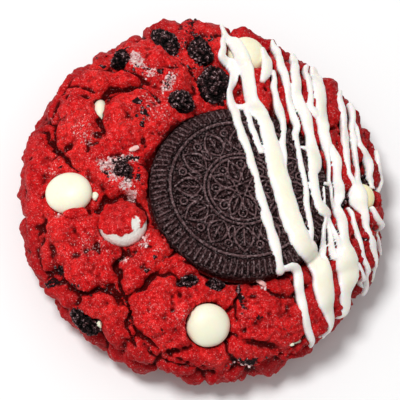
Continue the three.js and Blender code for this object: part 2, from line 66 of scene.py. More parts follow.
# The baked crumb's crags: their size, rise and crown, the depth and width of the cracks between them,
# the size of the patches that have them, from and to which of its noise they fade in, and two seeds.
CRAGS = (
    (4.6, 0.55, 0.45, 0.35, 0.16, 11, -0.5, 0.5, 11, 12),
    (2.1, 0.30, 0.40, 0.12, 0.25, 7, -0.8, 0.4, 21, 13),
)
GRIT = ((1.6, 0.42, 44), (0.85, 0.28, 43))
PITS = {"size": 2.2, "depth": 0.8, "from": 0.5, "to": 0.85}
GROOVE_WIDTH = 0.5
EDGE_DIP = 0.8
EDGE_DIP_WIDTH = 1.1

BISCUIT_RADIUS = 22.25
BISCUIT_THICKNESS = 5.0
BISCUIT_CENTRE = np.array([7.3, -1.85, 26.0])
BISCUIT_LEAN = math.radians(5.5)
BISCUIT_LEAN_TOWARD = math.radians(65)
EMBOSSED_RADIUS = 18.2
RIM_DROP = 2.3
FLUTE_COUNT = 90
FLUTE_HEIGHT = 0.28
EMBOSSING = 0.7
EMBOSSED_RINGS = ((17.6, 0.5), (9.25, 0.42), (8.2, 0.42))
LEAF_COUNT = 12
LEAF = {"start": 9.9, "end": 16.3, "width": 2.35, "half": 0.46, "veins": 1.8}
DART = {"start": 10.2, "end": 13.4, "width": 0.75, "half": 0.34, "veins": 9.0}
BEAD = {"at": 14.9, "dot": 0.3, "ring": 0.85, "half": 0.34}
PETAL_COUNT = 8
PETAL = {"start": 1.9, "end": 7.6, "width": 1.5, "half": 0.42, "veins": 1.6}
SEED = {"at": 6.4, "dot": 0.45, "ring": 1.0, "half": 0.26}
BUTTON = {"at": 0.0, "dot": 0.4, "ring": 1.3, "half": 0.34}
DOT_COUNT = 36
DOT_REACH = 16.55
DOT_RADIUS = 0.3
GAP = 0.3

# The two ends of each lump's ridge in plan, its radius and its rise.
TOP_LUMPS = [
    (-21, 13, -14, 20, 10, 3.4), (-33, 22, -32, 13, 7.5, 3), (-31, 28, -20, 27, 4.6, 3),
    (-31, 8, -26, 5, 6, 2.4), (-42, 12, -43, 3, 7, 3), (-37, 24, -34, 29, 5.5, 2.4),
    (-27, 33, -25, 35, 5, 2.2), (-17, 35, -11, 29, 8.5, 3.4), (-20, 41, -15, 43, 5, 2.4),
    (-5, 40, -4, 32, 4.5, 2.6), (-3, 45, 3, 46, 6, 3.6), (12, 45, 17, 44, 5, 3.4),
    (-11, 45, -7, 46, 5.5, 4.2), (20, 42, 23, 40, 5, 1.8), (27, 38, 33, 34, 5.5, 2),
    (-11, -44, -7, -45, 5, 3), (20, -40, 25, -39, 5.5, 2.6), (38, 27, 40, 23, 5.5, 2.8),
    (43, 17, 45, 9, 6, 3), (14, 30, 14, 23, 6, 2.4), (20, 31, 20, 22, 6, 2.4), (27, 26, 26, 15, 6.5, 2.6),
    (33, 29, 32, 22, 5.5, 3), (32, 13, 33, 5, 6, 2.8), (39, 19, 38, 12, 5, 2.6),
    (43, -3, 41, -5, 5.5, 3.2), (38, -9, 41, -15, 6, 2.8), (33, -13, 36, -20, 6, 2.8),
    (30, -24, 34, -29, 6, 1.8), (25, -28, 27, -34, 5.5, 3), (22, -23, 23, -24, 4, 2.2),
    (12, -33, 17, -35, 9.5, 3.6), (8, -40, 14, -40, 6, 2.6), (15, -25, 17, -26, 4.5, 2.8),
    (9, -27, 10, -29, 4.5, 2.4), (-1, -27, 4, -28, 4.5, 2.4), (-13, -30, -9, -35, 9.5, 3.6),
    (-12, -20.5, -7, -21, 4.5, 2.8), (-7, -27, -5, -28, 4, 2.2), (-13.5, -16.5, -16, -19, 5.5, 3.4),
    (-19, -24, -18, -21, 5, 3.2), (-36, -13, -31, -14, 8, 3.2), (-28, -20, -31, -23, 6.5, 3.2),
    (-40, -16, -40, -18, 5, 2.6), (-43, -7, -44, -1, 5.5, 2.8), (-25, -14, -26, -16, 4.5, 2.6),
    (-27, -30, -32, -31, 4.5, 3), (-24, -33, -22, -38, 5, 2.8), (-38, -25, -36, -27, 4.5, 3.4),
    (-24, 3, -20, 0, 5.5, 2.4), (-35, 1, -34, 3, 6, 2.2), (2, 36, 3, 40, 4, 2.2),
    (-6, -42, 2, -43, 6, 2.6), (-15, -42, -18, -41, 5.5, 2.6),
]
SIDE_LUMPS = {"count": 25, "height": 7, "radius": 7.4, "rise": 3.0}

# Crevices in the dough: half width at the surface, depth, then the places that each runs through.
CREVICES = [
    (1.1, 3.4, (-12, 20.5), (-16, 23.8), (-21, 25), (-25.2, 24.8), (-26.9, 22), (-27.4, 17.5), (-26.6, 12)),
    (0.7, 2.8, (-43.5, 20.5), (-41, 17.3), (-39, 12.5), (-37.5, 9.5), (-35.4, 6.7), (-33.2, 4.2),
     (-31.5, 2.8)),
    (0.7, 2.6, (-25, -9), (-23, -14), (-22.5, -20), (-22.3, -25), (-20.5, -29), (-21, -34), (-18, -40)),
    (0.7, 2.4, (-40, -19), (-36.5, -23.5), (-32, -26.5), (-27, -27.3), (-21.5, -28.5)),
    (0.6, 2.2, (-11.8, -19), (-14, -22.5), (-17.5, -26.5), (-20, -28.5)),
    (0.6, 1.8, (7, -25.5), (6, -29), (6, -34)),
    (0.6, 2.0, (-16, -41), (-9, -43), (-1, -44.5)),
    (1.1, 3.2, (29, 17), (31, 16.3), (34, 16.8)),
    (0.4, 1.4, (9, -42.5), (17, -41.5), (26, -38)),
    (0.9, 2.6, (-28.6, -8), (-26.6, -4.6), (-22.2, -3.6), (-18.4, -4.6), (-15.6, -7.4), (-15.0, -11.2)),
]
MOAT = {"half_width": 1.5, "depth": 2.4, "from": 232, "to": 372, "step": 8, "stand": 0.7}

# White chocolate chips: place in plan, half size along x, y and up, and how far each stands proud.
CHIPS = {
    "chip_left": ((-34.5, -2.6), (5.7, 5.1, 3), 2.3),
    "chip_bottom": ((-1, -35.2), (5.3, 5.2, 3), 2.4),
    "chip_smeared": ((-21.6, -10.6), (5.8, 5.3, 3), 2.7),
    "chip_crevice": ((-27, 20.2), (2, 3.4, 3), -0.5),
    "chip_top": ((11, 36.4), (4.9, 5.4, 4.6), 3.8),
    "chip_right": ((39.2, -1.2), (3.1, 3.5, 3), 2.4),
}
HIDDEN_CHIP = "chip_crevice"
COATED_CHIP = "chip_smeared"

# Chunks of dark biscuit: place in plan, half sizes, turn in degrees and how far each is sunk.
CHUNKS = {
    "chunk_top_left": ((-9.8, 39.2), (2.9, 5.4, 2.8), 20, 0.3),
    "chunk_top_right": ((-1.4, 35.8), (3.2, 4.3, 2.8), 15, 0.8),
    "chunk_ball": ((-6.8, 21), (3.1, 3.1, 3.0), 0, 0.2),
    "chunk_large": ((2, 26.8), (4.0, 5.2, 3.4), -15, 0.8),
    "chunk_upper_left": ((-21, 32.6), (2.6, 2.2, 2.2), 30, 0.5),
    "chunk_left": ((-21.4, 2.8), (2.6, 1.9, 2.0), 10, 0.6),
    "chunk_lower_left": ((-30, -33.4), (4.6, 2.3, 2.6), -42, 0.4),
    "chunk_low": ((-6.2, -24.9), (2.5, 1.4, 1.8), 8, 0.5),
    "chunk_rim": ((0.4, -25.8), (2.3, 1.5, 1.8), 0, 0.5),
    "chunk_right": ((34.1, -2.6), (1.2, 2.5, 1.8), -20, 0.4),
    "chunk_far_right": ((41.4, 4), (1.5, 2.2, 1.8), 5, 0.4),
}

# How much red crumb is mixed into the skin of some chunks.
RED_CHUNKS = {"chunk_top_right": 1.1, "chunk_large": 1.05, "chunk_left": 0.5, "chunk_top_left": 0.4}

# White chocolate drizzle: each line's places in plan with its width there, from far to near.
DRIZZLE = [
    [(5.2, 40.6, 1.4), (4.6, 38.6, 1.5), (4.5, 36, 1.6), (4, 34, 2.2), (5.8, 33, 1.9), (7, 30.6, 2.1),
     (6.7, 28, 2.1), (5.8, 25.4, 1.4), (5.5, 24, 1.6), (5.9, 21.8, 2.2), (6.6, 19.5, 2.3), (6.9, 16, 2.1),
     (7.6, 14, 2), (8.1, 11.6, 2.4), (8.8, 10, 2), (9.6, 7.2, 1.9), (9.9, 5, 2.2), (10.7, 2.5, 1.8),
     (11.2, 0, 1.6), (11.6, -2.8, 2.2), (12.1, -5, 2.3), (12.7, -6.6, 2), (12.9, -9, 2.8),
     (13.8, -12.2, 2.2), (14.4, -15, 2.7), (15, -18, 2.3), (15.5, -20.2, 1.7), (15.9, -21.9, 2.2)],
    [(6.4, 21, 1.8), (8.6, 20.4, 1.4), (10.6, 20.8, 1.6)],
    [(9.4, 20.2, 1.4), (9.9, 17.4, 1.6), (10.3, 15, 1.5), (11, 13, 1.6), (11.8, 10, 1.7),
     (12.6, 8.4, 1.8)],
    [(4.9, 43.6, 0.9), (5.7, 42, 1.4), (6.6, 39.7, 2.2), (7.9, 36, 2.9), (8.6, 33.8, 3.2),
     (9.8, 30.6, 3.2), (10.2, 27, 2.8), (10.4, 24.4, 2.9), (10.8, 21.6, 3), (12, 19.4, 3.3),
     (13.4, 17.4, 3.8), (14.2, 15, 3.7), (14.5, 13, 3.8), (15.1, 10, 3.9), (15.8, 6.5, 4.7),
     (16.4, 2.5, 5.1), (17, 0, 5.1), (17.6, -2.8, 5), (18.1, -5, 5), (18.6, -7.5, 5.2), (19.2, -10, 5.1),
     (20.1, -12.6, 5), (21.2, -15.2, 5.2), (23.4, -17, 4.6)],
    [(14.5, 35.6, 1.8), (15.2, 33.8, 2.6), (15.2, 31.4, 2.9), (14.5, 29.2, 2.5), (13.6, 27.2, 1.4)],
    [(16.8, 30, 1.1), (16.9, 28, 1.2), (16.5, 25.8, 1.6), (16.7, 23.6, 1.4), (17, 21, 1.9),
     (17.7, 19.2, 2.2), (18.6, 17, 1.6), (18.6, 15, 1.6), (18.3, 13, 1.4), (18, 10, 1.6),
     (18.4, 7.2, 1.2), (18.2, 4.2, 1)],
    [(17.9, 40.6, 0.9), (18.3, 39.5, 1.2), (19.1, 37.8, 1.5), (19, 35.4, 1.9), (18.9, 32.6, 2.1),
     (19.4, 30, 1.8), (19.5, 28, 1.7), (19.7, 25.8, 1.7), (20, 23, 1.8), (20.6, 20.8, 1.7),
     (21.1, 18.2, 1.6), (21.9, 15.4, 1.5), (21.4, 13, 1.8), (21.7, 10, 1.3), (22, 7.2, 1.3),
     (22.3, 4.5, 1.4), (23, 0, 1.3), (23.1, -2.8, 1.4), (22.9, -5, 1.5), (23.2, -7.5, 1.3),
     (23.5, -10, 1.5), (23.7, -12.2, 1.3), (23.6, -14.2, 1.2)],
    [(23.2, 37.2, 1.5), (23.5, 35.6, 2), (22.8, 33.2, 2.1), (22.1, 30, 2.4), (22.2, 27.2, 2.7),
     (22.2, 24.4, 2.7), (22.6, 21.9, 2.4), (23.3, 19.6, 2.3), (24.2, 17.2, 2.6), (24.7, 15, 2.5),
     (25, 13, 2), (25.3, 11.2, 2.5), (25.7, 8.8, 3.5), (25.9, 6.6, 3.9), (25.7, 4.8, 3.6), (25.1, 3, 2.5),
     (25.2, 0, 2.4), (25.5, -2.8, 2.3), (25.9, -4.8, 2.3), (27.1, -6.3, 3.4), (28.4, -6.9, 2.6)],
    [(22.9, 9.6, 1), (24.4, 9.6, 1.4)],
    [(26.3, 34, 1.2), (25.9, 31.5, 1.5), (25.8, 29, 1.5), (25.8, 26.5, 1.3), (25.6, 24.2, 1.2),
     (25.2, 21.8, 1.6), (25.2, 20.2, 1.5), (26.8, 18.4, 1.8)],
    [(28.5, 34, 2.2), (28.9, 31.5, 2.3), (28.3, 28.6, 2.9), (28.1, 25.8, 3.1), (28.1, 23, 3.2),
     (28.1, 20.2, 3.2), (28.3, 18, 3.5), (28.4, 16, 2.9), (28.2, 14, 2.5), (28.7, 12, 2.4),
     (29.1, 10.4, 2.2)],
    [(28.9, 10, 1.3), (29.2, 7.9, 0.9), (29.5, 5.7, 0.7), (29.5, 3.6, 0.7), (29.6, 1.6, 0.9),
     (30.3, -0.3, 0.9), (30.4, -2.4, 1), (31.6, -4.4, 1.6)],
    [(30, 10, 1.6), (31, 7.7, 2.1), (31.4, 5.7, 2.2), (31.5, 3.7, 1.8), (31.7, 1.7, 2), (32.4, -0.2, 2.2),
     (32.6, -1.9, 2.4), (31.9, -4, 1.7), (32.3, -5.6, 2.2), (32.4, -7.8, 2.5), (32.1, -10.2, 2.5),
     (32.3, -12.3, 2.3), (32.7, -15, 3.6), (33.4, -18.3, 5.6), (33.9, -20.6, 5), (33.8, -22.7, 4.2),
     (33.6, -24.8, 3.6), (33.6, -26.7, 2.8), (34, -28.8, 2.5), (34.6, -30.8, 2), (35, -32.2, 1.3)],
    [(28.2, 0.6, 0.8), (29.6, 0.8, 1)],
    [(27.6, -0.6, 0.7), (27.6, -4.6, 0.7)],
    [(33.9, 26.6, 1.1), (33.8, 25, 1.5), (33.9, 22.7, 1.6), (34.1, 20, 1.7), (34.7, 17.4, 1.6),
     (34.5, 15, 2.1), (34.2, 13, 2.1), (34, 10.5, 1.7), (33.8, 8, 1.6), (34.1, 5.9, 1.2), (34.4, 3.8, 1),
     (35.3, 2.3, 1.2), (36.2, 1, 1.6)],
    [(36.6, 24.2, 0.8), (36.9, 22.2, 1.1), (37.1, 20, 1), (37, 18.4, 1.2), (36.7, 16.5, 0.9),
     (36.6, 13.5, 1.4), (36.3, 11, 1.2), (36.7, 8.9, 1.2), (37.2, 7, 1.4), (37.1, 4.7, 1.4),
     (36.8, 2.7, 1.8), (36.6, 0.9, 2.6), (36.7, -1, 3.6), (36.9, -3, 3.4), (37.9, -5.1, 2),
     (38.4, -7.1, 1.6), (38.8, -9.1, 1.3), (39.3, -10.4, 1.4), (40, -12, 1.8), (40.8, -13.8, 1.7),
     (41.6, -15.7, 1.3), (43, -17.8, 1), (44.4, -19.6, 0.8), (45.6, -21.4, 0.6)],
    [(37.2, 18.6, 0.8), (37.9, 17.2, 0.7), (37.8, 15, 0.8), (37.8, 12.6, 1.1), (38.6, 11.3, 1.3),
     (40.2, 9.8, 1.5), (41, 8, 1.2), (41.5, 6, 1), (41.7, 5, 1), (42.4, 4, 1.3), (42.6, 2.6, 1.2)],
    [(42.5, 12, 0.5), (42.7, 10.4, 0.7), (43, 8.8, 0.6), (43.8, 7.6, 0.7), (45, 6.9, 0.8), (46.2, 6, 0.9),
     (47, 4.8, 1), (47.4, 3.4, 1.1), (47.3, 2, 0.7)],
    [(34.7, -4.7, 0.6), (35.2, -5.8, 0.9), (35.4, -7.6, 1), (35.9, -9.6, 1.3), (36.5, -11.5, 1.2),
     (37, -13.5, 1.2), (37.6, -15.6, 1.1), (38.5, -17.5, 1.1), (39.9, -19.4, 1.1), (41.4, -21.2, 1.1),
     (42.6, -23, 1), (43.4, -24.6, 0.8), (44, -25.8, 0.5)],
    [(39.9, -4.2, 0.9), (40.7, -5.4, 1.1), (41.7, -6.5, 1.3), (43.4, -7.3, 1.3), (45.2, -8.2, 1.2),
     (46.6, -9.8, 1.1), (47.2, -11.8, 0.9), (47, -14, 0.6)],
    [(36.3, -18.5, 1.3), (37.8, -20.4, 1), (39.6, -22, 0.9), (41, -23.4, 0.5)],
    [(26.4, -18.9, 5.2), (26.9, -20.6, 5.2), (27.3, -22.5, 5.1), (27.6, -25.5, 5.2), (28.1, -28.1, 4.8),
     (29.1, -29.9, 3.5), (29.9, -31.9, 2.9), (30.8, -34.2, 2.4), (31.6, -36.2, 2.1), (31.9, -38, 1.4)],
    [(17.4, -21.4, 1.3), (19, -20.9, 1.8), (20.6, -21.5, 2.2), (20.9, -23.3, 2.3), (20.9, -25.1, 2.3),
     (21.4, -27.1, 2.1), (21.7, -29.2, 2.2), (22.1, -31.1, 1.9), (22.8, -33, 1.8), (23.6, -34.9, 1.7),
     (25, -36.7, 1.2), (26.6, -38.6, 1), (28.2, -40.4, 0.8)],
    [(28, -8.4, 1), (27.3, -11.4, 1.1), (27.5, -13.4, 1.2), (27.9, -15.4, 1.3), (27.6, -17.6, 1.8)],
    [(28.6, -8.8, 0.9), (28.9, -11.3, 0.9), (29.2, -13.4, 1), (29.6, -15.3, 1.2), (30.4, -17.4, 1.6)],
    [(29, -8.4, 0.8), (29.8, -11.4, 0.9), (30.8, -13.4, 1.1), (31.7, -15.3, 1.5)],
    [(23.9, -15.6, 2.6), (25.4, -17.6, 3.6)],
]

# Painted shade: the dough is painted a deeper red between the drizzle's lines, where they shade it; where
# that fades in.
SHADED = {"across": (9, 20), "along": (-36, -24)}

# Pale smears of chocolate and sugar on the dough, then dark crumb smears; one pale row is a painted sheen
# and one dark row a painted shadow: x, y, half sizes, turn, strength.
PALE_SMEARS = [
    (-17.2, 31.2, 3, 1.5, -50, 1.3), (-20.5, 33.4, 2, 1.4, 0, 0.6), (-14, 28, 1.6, 1, 0, 0.7),
    (-10, 25, 1.4, 2.8, -20, 0.8), (-8.6, 27, 1.3, 1.3, 0, 0.5), (-23.6, 1, 1.8, 1.6, 0, 0.7),
    (-25, 4.2, 2.6, 2, 0, 1), (-21.5, 5.4, 3.4, 1.2, 0, 0.8), (-20.4, -0.6, 2.4, 1.6, 20, 0.9),
    # The row at -30.5, 13 is a painted sheen: a pale highlight on moist dough, not chocolate.
    (-19.2, -3, 1.4, 1.4, 0, 0.7), (-14, 18, 4.6, 3.4, 0, 0.25), (-30.5, 13, 2.6, 4, 20, 0.3),
    (12.2, -25.5, 1.4, 0.6, -50, 0.9), (9, -43.4, 3.4, 0.9, 10, 0.75), (-16.5, -15.5, 1, 2.8, -20, 0.6),
    (-37, -8, 0.9, 0.5, 0, 0.7), (-21, -19.5, 1.6, 1.2, 0, 0.45), (-8, -33, 2.4, 2, 0, 0.25),
    (-29, -16, 5, 2.6, 15, 0.25), (-38, 3.5, 1.6, 1.6, 0, 0.3), (-13.2, -17, 1.6, 1.6, 0, 0.3),
    (28, -35, 0.9, 0.7, 0, 0.5),
]
DARK_SMEARS = [
    (-20.6, 34.6, 2, 1.5, 0, 0.9), (-15.6, 29.4, 2, 1.2, 0, 0.5), (-11.5, 28.2, 1.4, 1, 0, 0.8),
    (-17.8, 20, 1.4, 0.8, -40, 0.9), (-16, 17, 1.8, 1.6, 0, 0.6), (-16.6, 14, 1, 0.7, 0, 0.7),
    (-22, 5.4, 4, 1, 5, 0.6), (-25.6, 2.2, 1.2, 0.8, 0, 0.6), (-19.6, 1, 2.2, 1.4, 20, 0.8),
    (-27, 34, 1, 0.6, 0, 0.8), (-25.5, 32, 0.9, 0.5, 0, 0.8), (-37, -21, 1, 1.6, 30, 0.9),
    (-38, -23.5, 1.6, 1, 0, 0.7), (-33, -25, 1.3, 0.8, 0, 0.6), (-36, 4, 0.7, 0.6, 0, 0.7),
    (38, -12, 0.7, 0.5, 0, 0.8), (7, -29, 0.9, 2.4, 10, 0.7), (6.5, -26.5, 1, 1.4, 0, 0.9),
    (9, -42.6, 4, 1, 10, 0.8), (-16, -22.4, 0.7, 0.7, 0, 0.8), (-27.5, -26.8, 2.2, 0.8, 0, 0.5),
    (-3, 42, 1.6, 2.4, 0, 0.5), (2.6, 40, 1.4, 1.8, 0, 0.5), (3.6, 21.6, 1, 0.8, 0, 0.6),
    (-11.6, -36, 1.6, 1, 0, 0.4), (11, -33, 0.8, 0.6, 0, 0.6), (-28, -4.6, 1, 0.5, 0, 0.6),
    # The row at 29, -12.3 is painted shadow in the gap beside the biscuit, and the dark crumbs made from it
    # sit in that shade.
    (29, -12.3, 4.4, 2, -50, 1.4), (-5.4, 37.6, 1.2, 3, 0, 0.5), (-2, 31, 2.4, 1.2, 0, 0.6),
    (-4.5, 43.5, 3, 1, 0, 0.4), (-6.6, 31, 1.4, 2.4, 0, 0.4), (-1.5, 44.5, 0.8, 0.8, 0, 0.5),
    (-14.4, -19.6, 0.7, 0.8, 0, 0.7), (-10, 26, 1, 2.6, -20, 0.5),
]

# Loose red crumbs, in rows like the smears'.
RED_CRUMBS = [
    (-32.4, -8.2, 2.6, 0.9, 0, 1), (-29, -8, 1.6, 1, 0, 0.7), (6, 31, 1.2, 3, 0, 0.5),
    (-3, 30, 2.4, 1.6, 0, 0.6), (2, 38, 1.6, 2.6, 0, 0.6), (-24.5, 16, 1, 3, 0, 0.5),
    (-20, -30, 1.6, 6, 0, 0.5), (-30, -25, 6, 1.4, 0, 0.5), (20, 44, 3, 1, 0, 0.5),
    (-16, -40, 5, 1.2, 0, 0.5), (16, -40, 5, 1.2, 0, 0.5), (-40, 10, 1.4, 4, 0, 0.5),
]
# Loose bits on the dough: place, half sizes, turn, how far above it, and what each is of.
BITS = {
    "bit_low_right": ((22, -37.7), (1.0, 0.5, 0.5), 20, 0.1, "white"),
    "bit_low_middle": ((19.5, -37.9), (0.6, 0.4, 0.4), 20, 0.1, "white"),
    "bit_by_drizzle": ((12.5, -25), (1.7, 0.7, 0.7), -30, 0.2, "pink"),
    "bit_by_chip": ((-28.3, -3.4), (0.8, 1.0, 0.6), -20, 0.5, "white"),
    "bit_in_chunk": ((-26.9, -34.2), (0.6, 0.9, 0.6), 10, 1.0, "white"),
    "bit_pale_nub": ((-18.6, 7.8), (1.3, 0.6, 0.6), 22, 0.2, "pink"),
    "bit_over_chip": ((-32.6, -7.9), (3.0, 1.3, 1.1), 4, 1.0, "dough"),
}
CRUMB_RADII = (0.16, 0.42)
CRUMB_STRETCH = (0.65, 1.25)
CRUMB_SPREAD = 0.55
LEAST_CRUMBLED = 0.45

# ---------------------------------------------------------------- noise


def scatter(ix, iy, iz, seed):
    """A number from 0 to 1 for each lattice place."""
    h = (ix * 374761393 + iy * 668265263 + iz * 1442695041 + seed * 1274126177) & 0xFFFFFFFF
    h = ((h ^ (h >> 13)) * 1274126177) & 0xFFFFFFFF
    h = ((h ^ (h >> 15)) * 668265263) & 0xFFFFFFFF
    return ((h ^ (h >> 16)) & 0xFFFFF) / 0xFFFFF


def noise(points, size, seed):
    """Smooth noise from -1 to 1 with features of the given size."""
    scaled = points / size + 100.5
    low = np.floor(scaled).astype(np.int64)
    f = scaled - low
    f = f * f * (3 - 2 * f)
    total = np.zeros(len(points))
    for corner in itertools.product((0, 1), repeat=3):
        weight = np.prod([f[:, k] if corner[k] else 1 - f[:, k] for k in range(3)], axis=0)
        total += weight * scatter(low[:, 0] + corner[0], low[:, 1] + corner[1], low[:, 2] + corner[2], seed)
    return 2 * total - 1


def grains(points, size, seed):
    """Distance to the nearest and to the second nearest of scattered centres, in grain sizes."""
    scaled = points / size + 100.5
    low = np.floor(scaled).astype(np.int64)
    first = np.full(len(points), 9.0)
    second = np.full(len(points), 9.0)
    for offset in itertools.product((-1, 0, 1), repeat=3):
        cell = low + np.array(offset)
        centre = cell + np.stack([scatter(*cell.T, seed + k) for k in range(3)], axis=1)
        d = np.linalg.norm(scaled - centre, axis=1)
        second = np.minimum(second, np.maximum(first, d))
        first = np.minimum(first, d)
    return first, second


def smoothstep(x, low, high):
    """0 up to low, 1 from high on, and a smooth step between."""
    t = np.clip((x - low) / (high - low), 0, 1)
    return t * t * (3 - 2 * t)


def seeded(seed):
    """A number from 0 to 1 for a seed."""
    x = math.sin(seed * 127.1 + 311.7) * 43758.5453
    return x - math.floor(x)


# ---------------------------------------------------------------- the dough's surface


def walk_profile(steps=1200):
    """Stations down the smooth cookie's section: length so far, radius, height and outward normal."""
    t = np.linspace(0, 2, steps + 1)
    phi = np.minimum(t, 1) * math.pi / 2
    down = np.maximum(t - 1, 0)
    crown = COOKIE_HEIGHT - WIDEST_HEIGHT
    r = COOKIE_RADIUS * np.sin(phi) ** (2 / SHOULDER_POWER) - FOOT_INSET * down ** 2
    z = WIDEST_HEIGHT * (1 - down) + crown * np.abs(np.cos(phi)) ** (2 / SHOULDER_POWER)
    s = np.concatenate([[0], np.cumsum(np.hypot(np.diff(r), np.diff(z)))])
    dr, dz = np.gradient(r, s), np.gradient(z, s)
    size = np.hypot(dr, dz)
    return s, r, z, -dz / size, dr / size


S, SR, SZ, SNR, SNZ = walk_profile()
SHOULDER_S = float(np.interp(SHOULDER_START, SR[: len(SR) // 2], S[: len(S) // 2]))
FOOT_REACH = SHOULDER_START + S[-1] - SHOULDER_S


def on_dome(x, y):
    """Points and outward normals on the smooth cookie at plan places."""
    reach = np.maximum(np.hypot(x, y), 1e-9)
    inner = np.interp(np.minimum(reach, SHOULDER_START), SR[: len(SR) // 2], S[: len(S) // 2])
    s = np.where(reach > SHOULDER_START, SHOULDER_S + reach - SHOULDER_START, inner)
    r, z, nr, nz = (np.interp(s, S, column) for column in (SR, SZ, SNR, SNZ))
    c, n = x / reach, y / reach
    return np.stack([r * c, r * n, z], -1), np.stack([nr * c, nr * n, nz], -1)


def make_lumps():
    """Each lump's two ends in space, its radius and its rise: those on top, then a ring on the side."""
    rows = []
    for x1, y1, x2, y2, radius, rise in TOP_LUMPS:
        ends, _ = on_dome(np.array([x1, x2], float), np.array([y1, y2], float))
        rows.append((ends[0], ends[1], radius, rise))
    count = SIDE_LUMPS["count"]
    for i in range(count):
        angle = (i + 0.5 * seeded(i)) * 2 * math.pi / count
        height = SIDE_LUMPS["height"] * (0.5 + 0.9 * seeded(i + 40))
        spread = 0.08 * (seeded(i + 80) - 0.5)
        ends = [np.array([COOKIE_RADIUS * math.cos(angle + side * spread),
                          COOKIE_RADIUS * math.sin(angle + side * spread), height]) for side in (-1, 1)]
        radius = SIDE_LUMPS["radius"] * (0.8 + 0.4 * seeded(i + 120))
        rows.append((ends[0], ends[1], radius, SIDE_LUMPS["rise"] * (0.75 + 0.4 * seeded(i + 160))))
    return rows


LUMPS = make_lumps()


def from_segment(points, a, b):
    """Distance of points from the segment a to b, and how far along it the nearest place is."""
    along = b - a
    f = np.clip((points - a) @ along / max(along @ along, 1e-12), 0, 1)
    return np.linalg.norm(points - a - f[:, None] * along, axis=1), f


def lump_heights(points):
    """Summed softly, all lumps; then the highest and the second highest at each point."""
    total = np.ones(len(points))
    first, second = np.zeros(len(points)), np.zeros(len(points))
    for a, b, radius, rise in LUMPS:
        q = from_segment(points, a, b)[0] / radius
        height = rise * (1 - q ** LUMP_FULLNESS)
        total += np.where(q < 1.7, np.exp(height / LUMP_SOFTNESS), 0)
        second = np.maximum(second, np.minimum(first, height))
        first = np.maximum(first, height)
    return total, first, second


def crease_cut(points):
    """How deep the creases are where two lumps of dough meet: they fade in and out."""
    _, first, second = lump_heights(points)
    depth = CREASE_DEPTH * smoothstep(noise(points, 8, 14), -0.6, 0.4)
    return depth * (1 - smoothstep(first - second, 0, CREASE_WIDTH))


def lump_relief(points):
    """Coarse relief: lumps over a shallow crevice floor, and a slow wave."""
    total, _, _ = lump_heights(points)
    x, y, z = points.T
    wave = (np.sin(0.62 * x + 0.31 * y + 0.4 * z + 1.3) + np.sin(-0.41 * x + 0.73 * y + 0.52 * z + 4.1)
            + np.sin(0.93 * x - 0.22 * y + 0.8 * z + 2.2))
    return LUMP_SOFTNESS * np.log(total) - CREVICE_DEPTH + UNEVENNESS * wave


def smooth_path(places, spacing):
    """Points a given distance apart on a Catmull-Rom curve through the places."""
    p = np.array(places, float)
    padded = np.vstack([2 * p[0] - p[1], p, 2 * p[-1] - p[-2]])
    out = []
    for i in range(len(p) - 1):
        a, b, c, d = padded[i : i + 4]
        n = max(1, math.ceil(np.linalg.norm((c - b)[:2]) / spacing))
        t = (np.arange(n) / n)[:, None]
        out.append(0.5 * (2 * b + (c - a) * t + (2 * a - 5 * b + 4 * c - d) * t ** 2
                          + (3 * b - a - 3 * c + d) * t ** 3))
    return np.vstack([*out, p[-1:]])


def flat_points(q):
    """Plan places as points at height 0."""
    return np.stack([q[:, 0], q[:, 1], np.zeros(len(q))], -1)


def crevice_cut(q):
    """How deep the crevices are at plan places, with the one that runs round the biscuit."""
    cut = np.zeros(len(q))
    turns = np.radians(np.arange(MOAT["from"], MOAT["to"] + 1, MOAT["step"]))
    toward = np.stack([np.cos(turns), np.sin(turns)], -1)
    moat = BISCUIT_CENTRE[:2] + (BISCUIT_RADIUS + MOAT["stand"]) * toward
    rows = [*CREVICES, (MOAT["half_width"], MOAT["depth"], *moat)]
    ragged = 1 + 0.4 * noise(flat_points(q), 3.0, 15)
    for half, depth, *places in rows:
        path = smooth_path(places, 1.5)
        steps = len(path) - 1
        for i in range(steps):
            d, f = from_segment(q, path[i], path[i + 1])
            fade = 0.3 + 0.7 * np.sin(math.pi * np.clip((i + f) / steps, 0.02, 0.98)) ** 0.6
            cut = np.maximum(cut, depth * fade * np.clip(1.25 - d / (half * fade * ragged), 0, 1))
    return cut


def ellipse_reach(q, at, radius, turn=0.0):
    """How far plan places are from an ellipse's centre, in its own radii."""
    c, s = math.cos(math.radians(turn)), math.sin(math.radians(turn))
    d = q - np.array(at)
    return np.hypot((d[:, 0] * c + d[:, 1] * s) / radius[0], (-d[:, 0] * s + d[:, 1] * c) / radius[1])


def height_at(place):
    """Coarse relief of the dough at one plan place."""
    point, _ = on_dome(np.array([place[0]], float), np.array([place[1]], float))
    return float(lump_relief(point)[0])


# How high the middle of each chip and chunk lies over the smooth cookie.
BASES = {name: height_at(at) + proud - half[2] for name, (at, half, proud) in CHIPS.items()}
BASES |= {name: height_at(at) - sink for name, (at, _, _, sink) in CHUNKS.items()}

# How the dough holds them: place, half sizes and turn, the half sizes of the hollow, how far that
# follows the dough's own warp, and how deep a groove runs round it.
SEATS = {name: (at, half, 0, [size + GAP for size in half], 0.3, 0.4)
         for name, (at, half, _) in CHIPS.items()}
SEATS |= {name: (at, half, turn, [0.94 * half[0], 0.94 * half[1], 1.1 * half[2] + GAP], 0.6, 0.35)
          for name, (at, half, turn, _) in CHUNKS.items()}


def bowl(reach):
    """A round hollow's depth as a share of its deepest, by the reach from its centre."""
    return np.sqrt(np.clip(1 - reach ** 2, 0, 1))


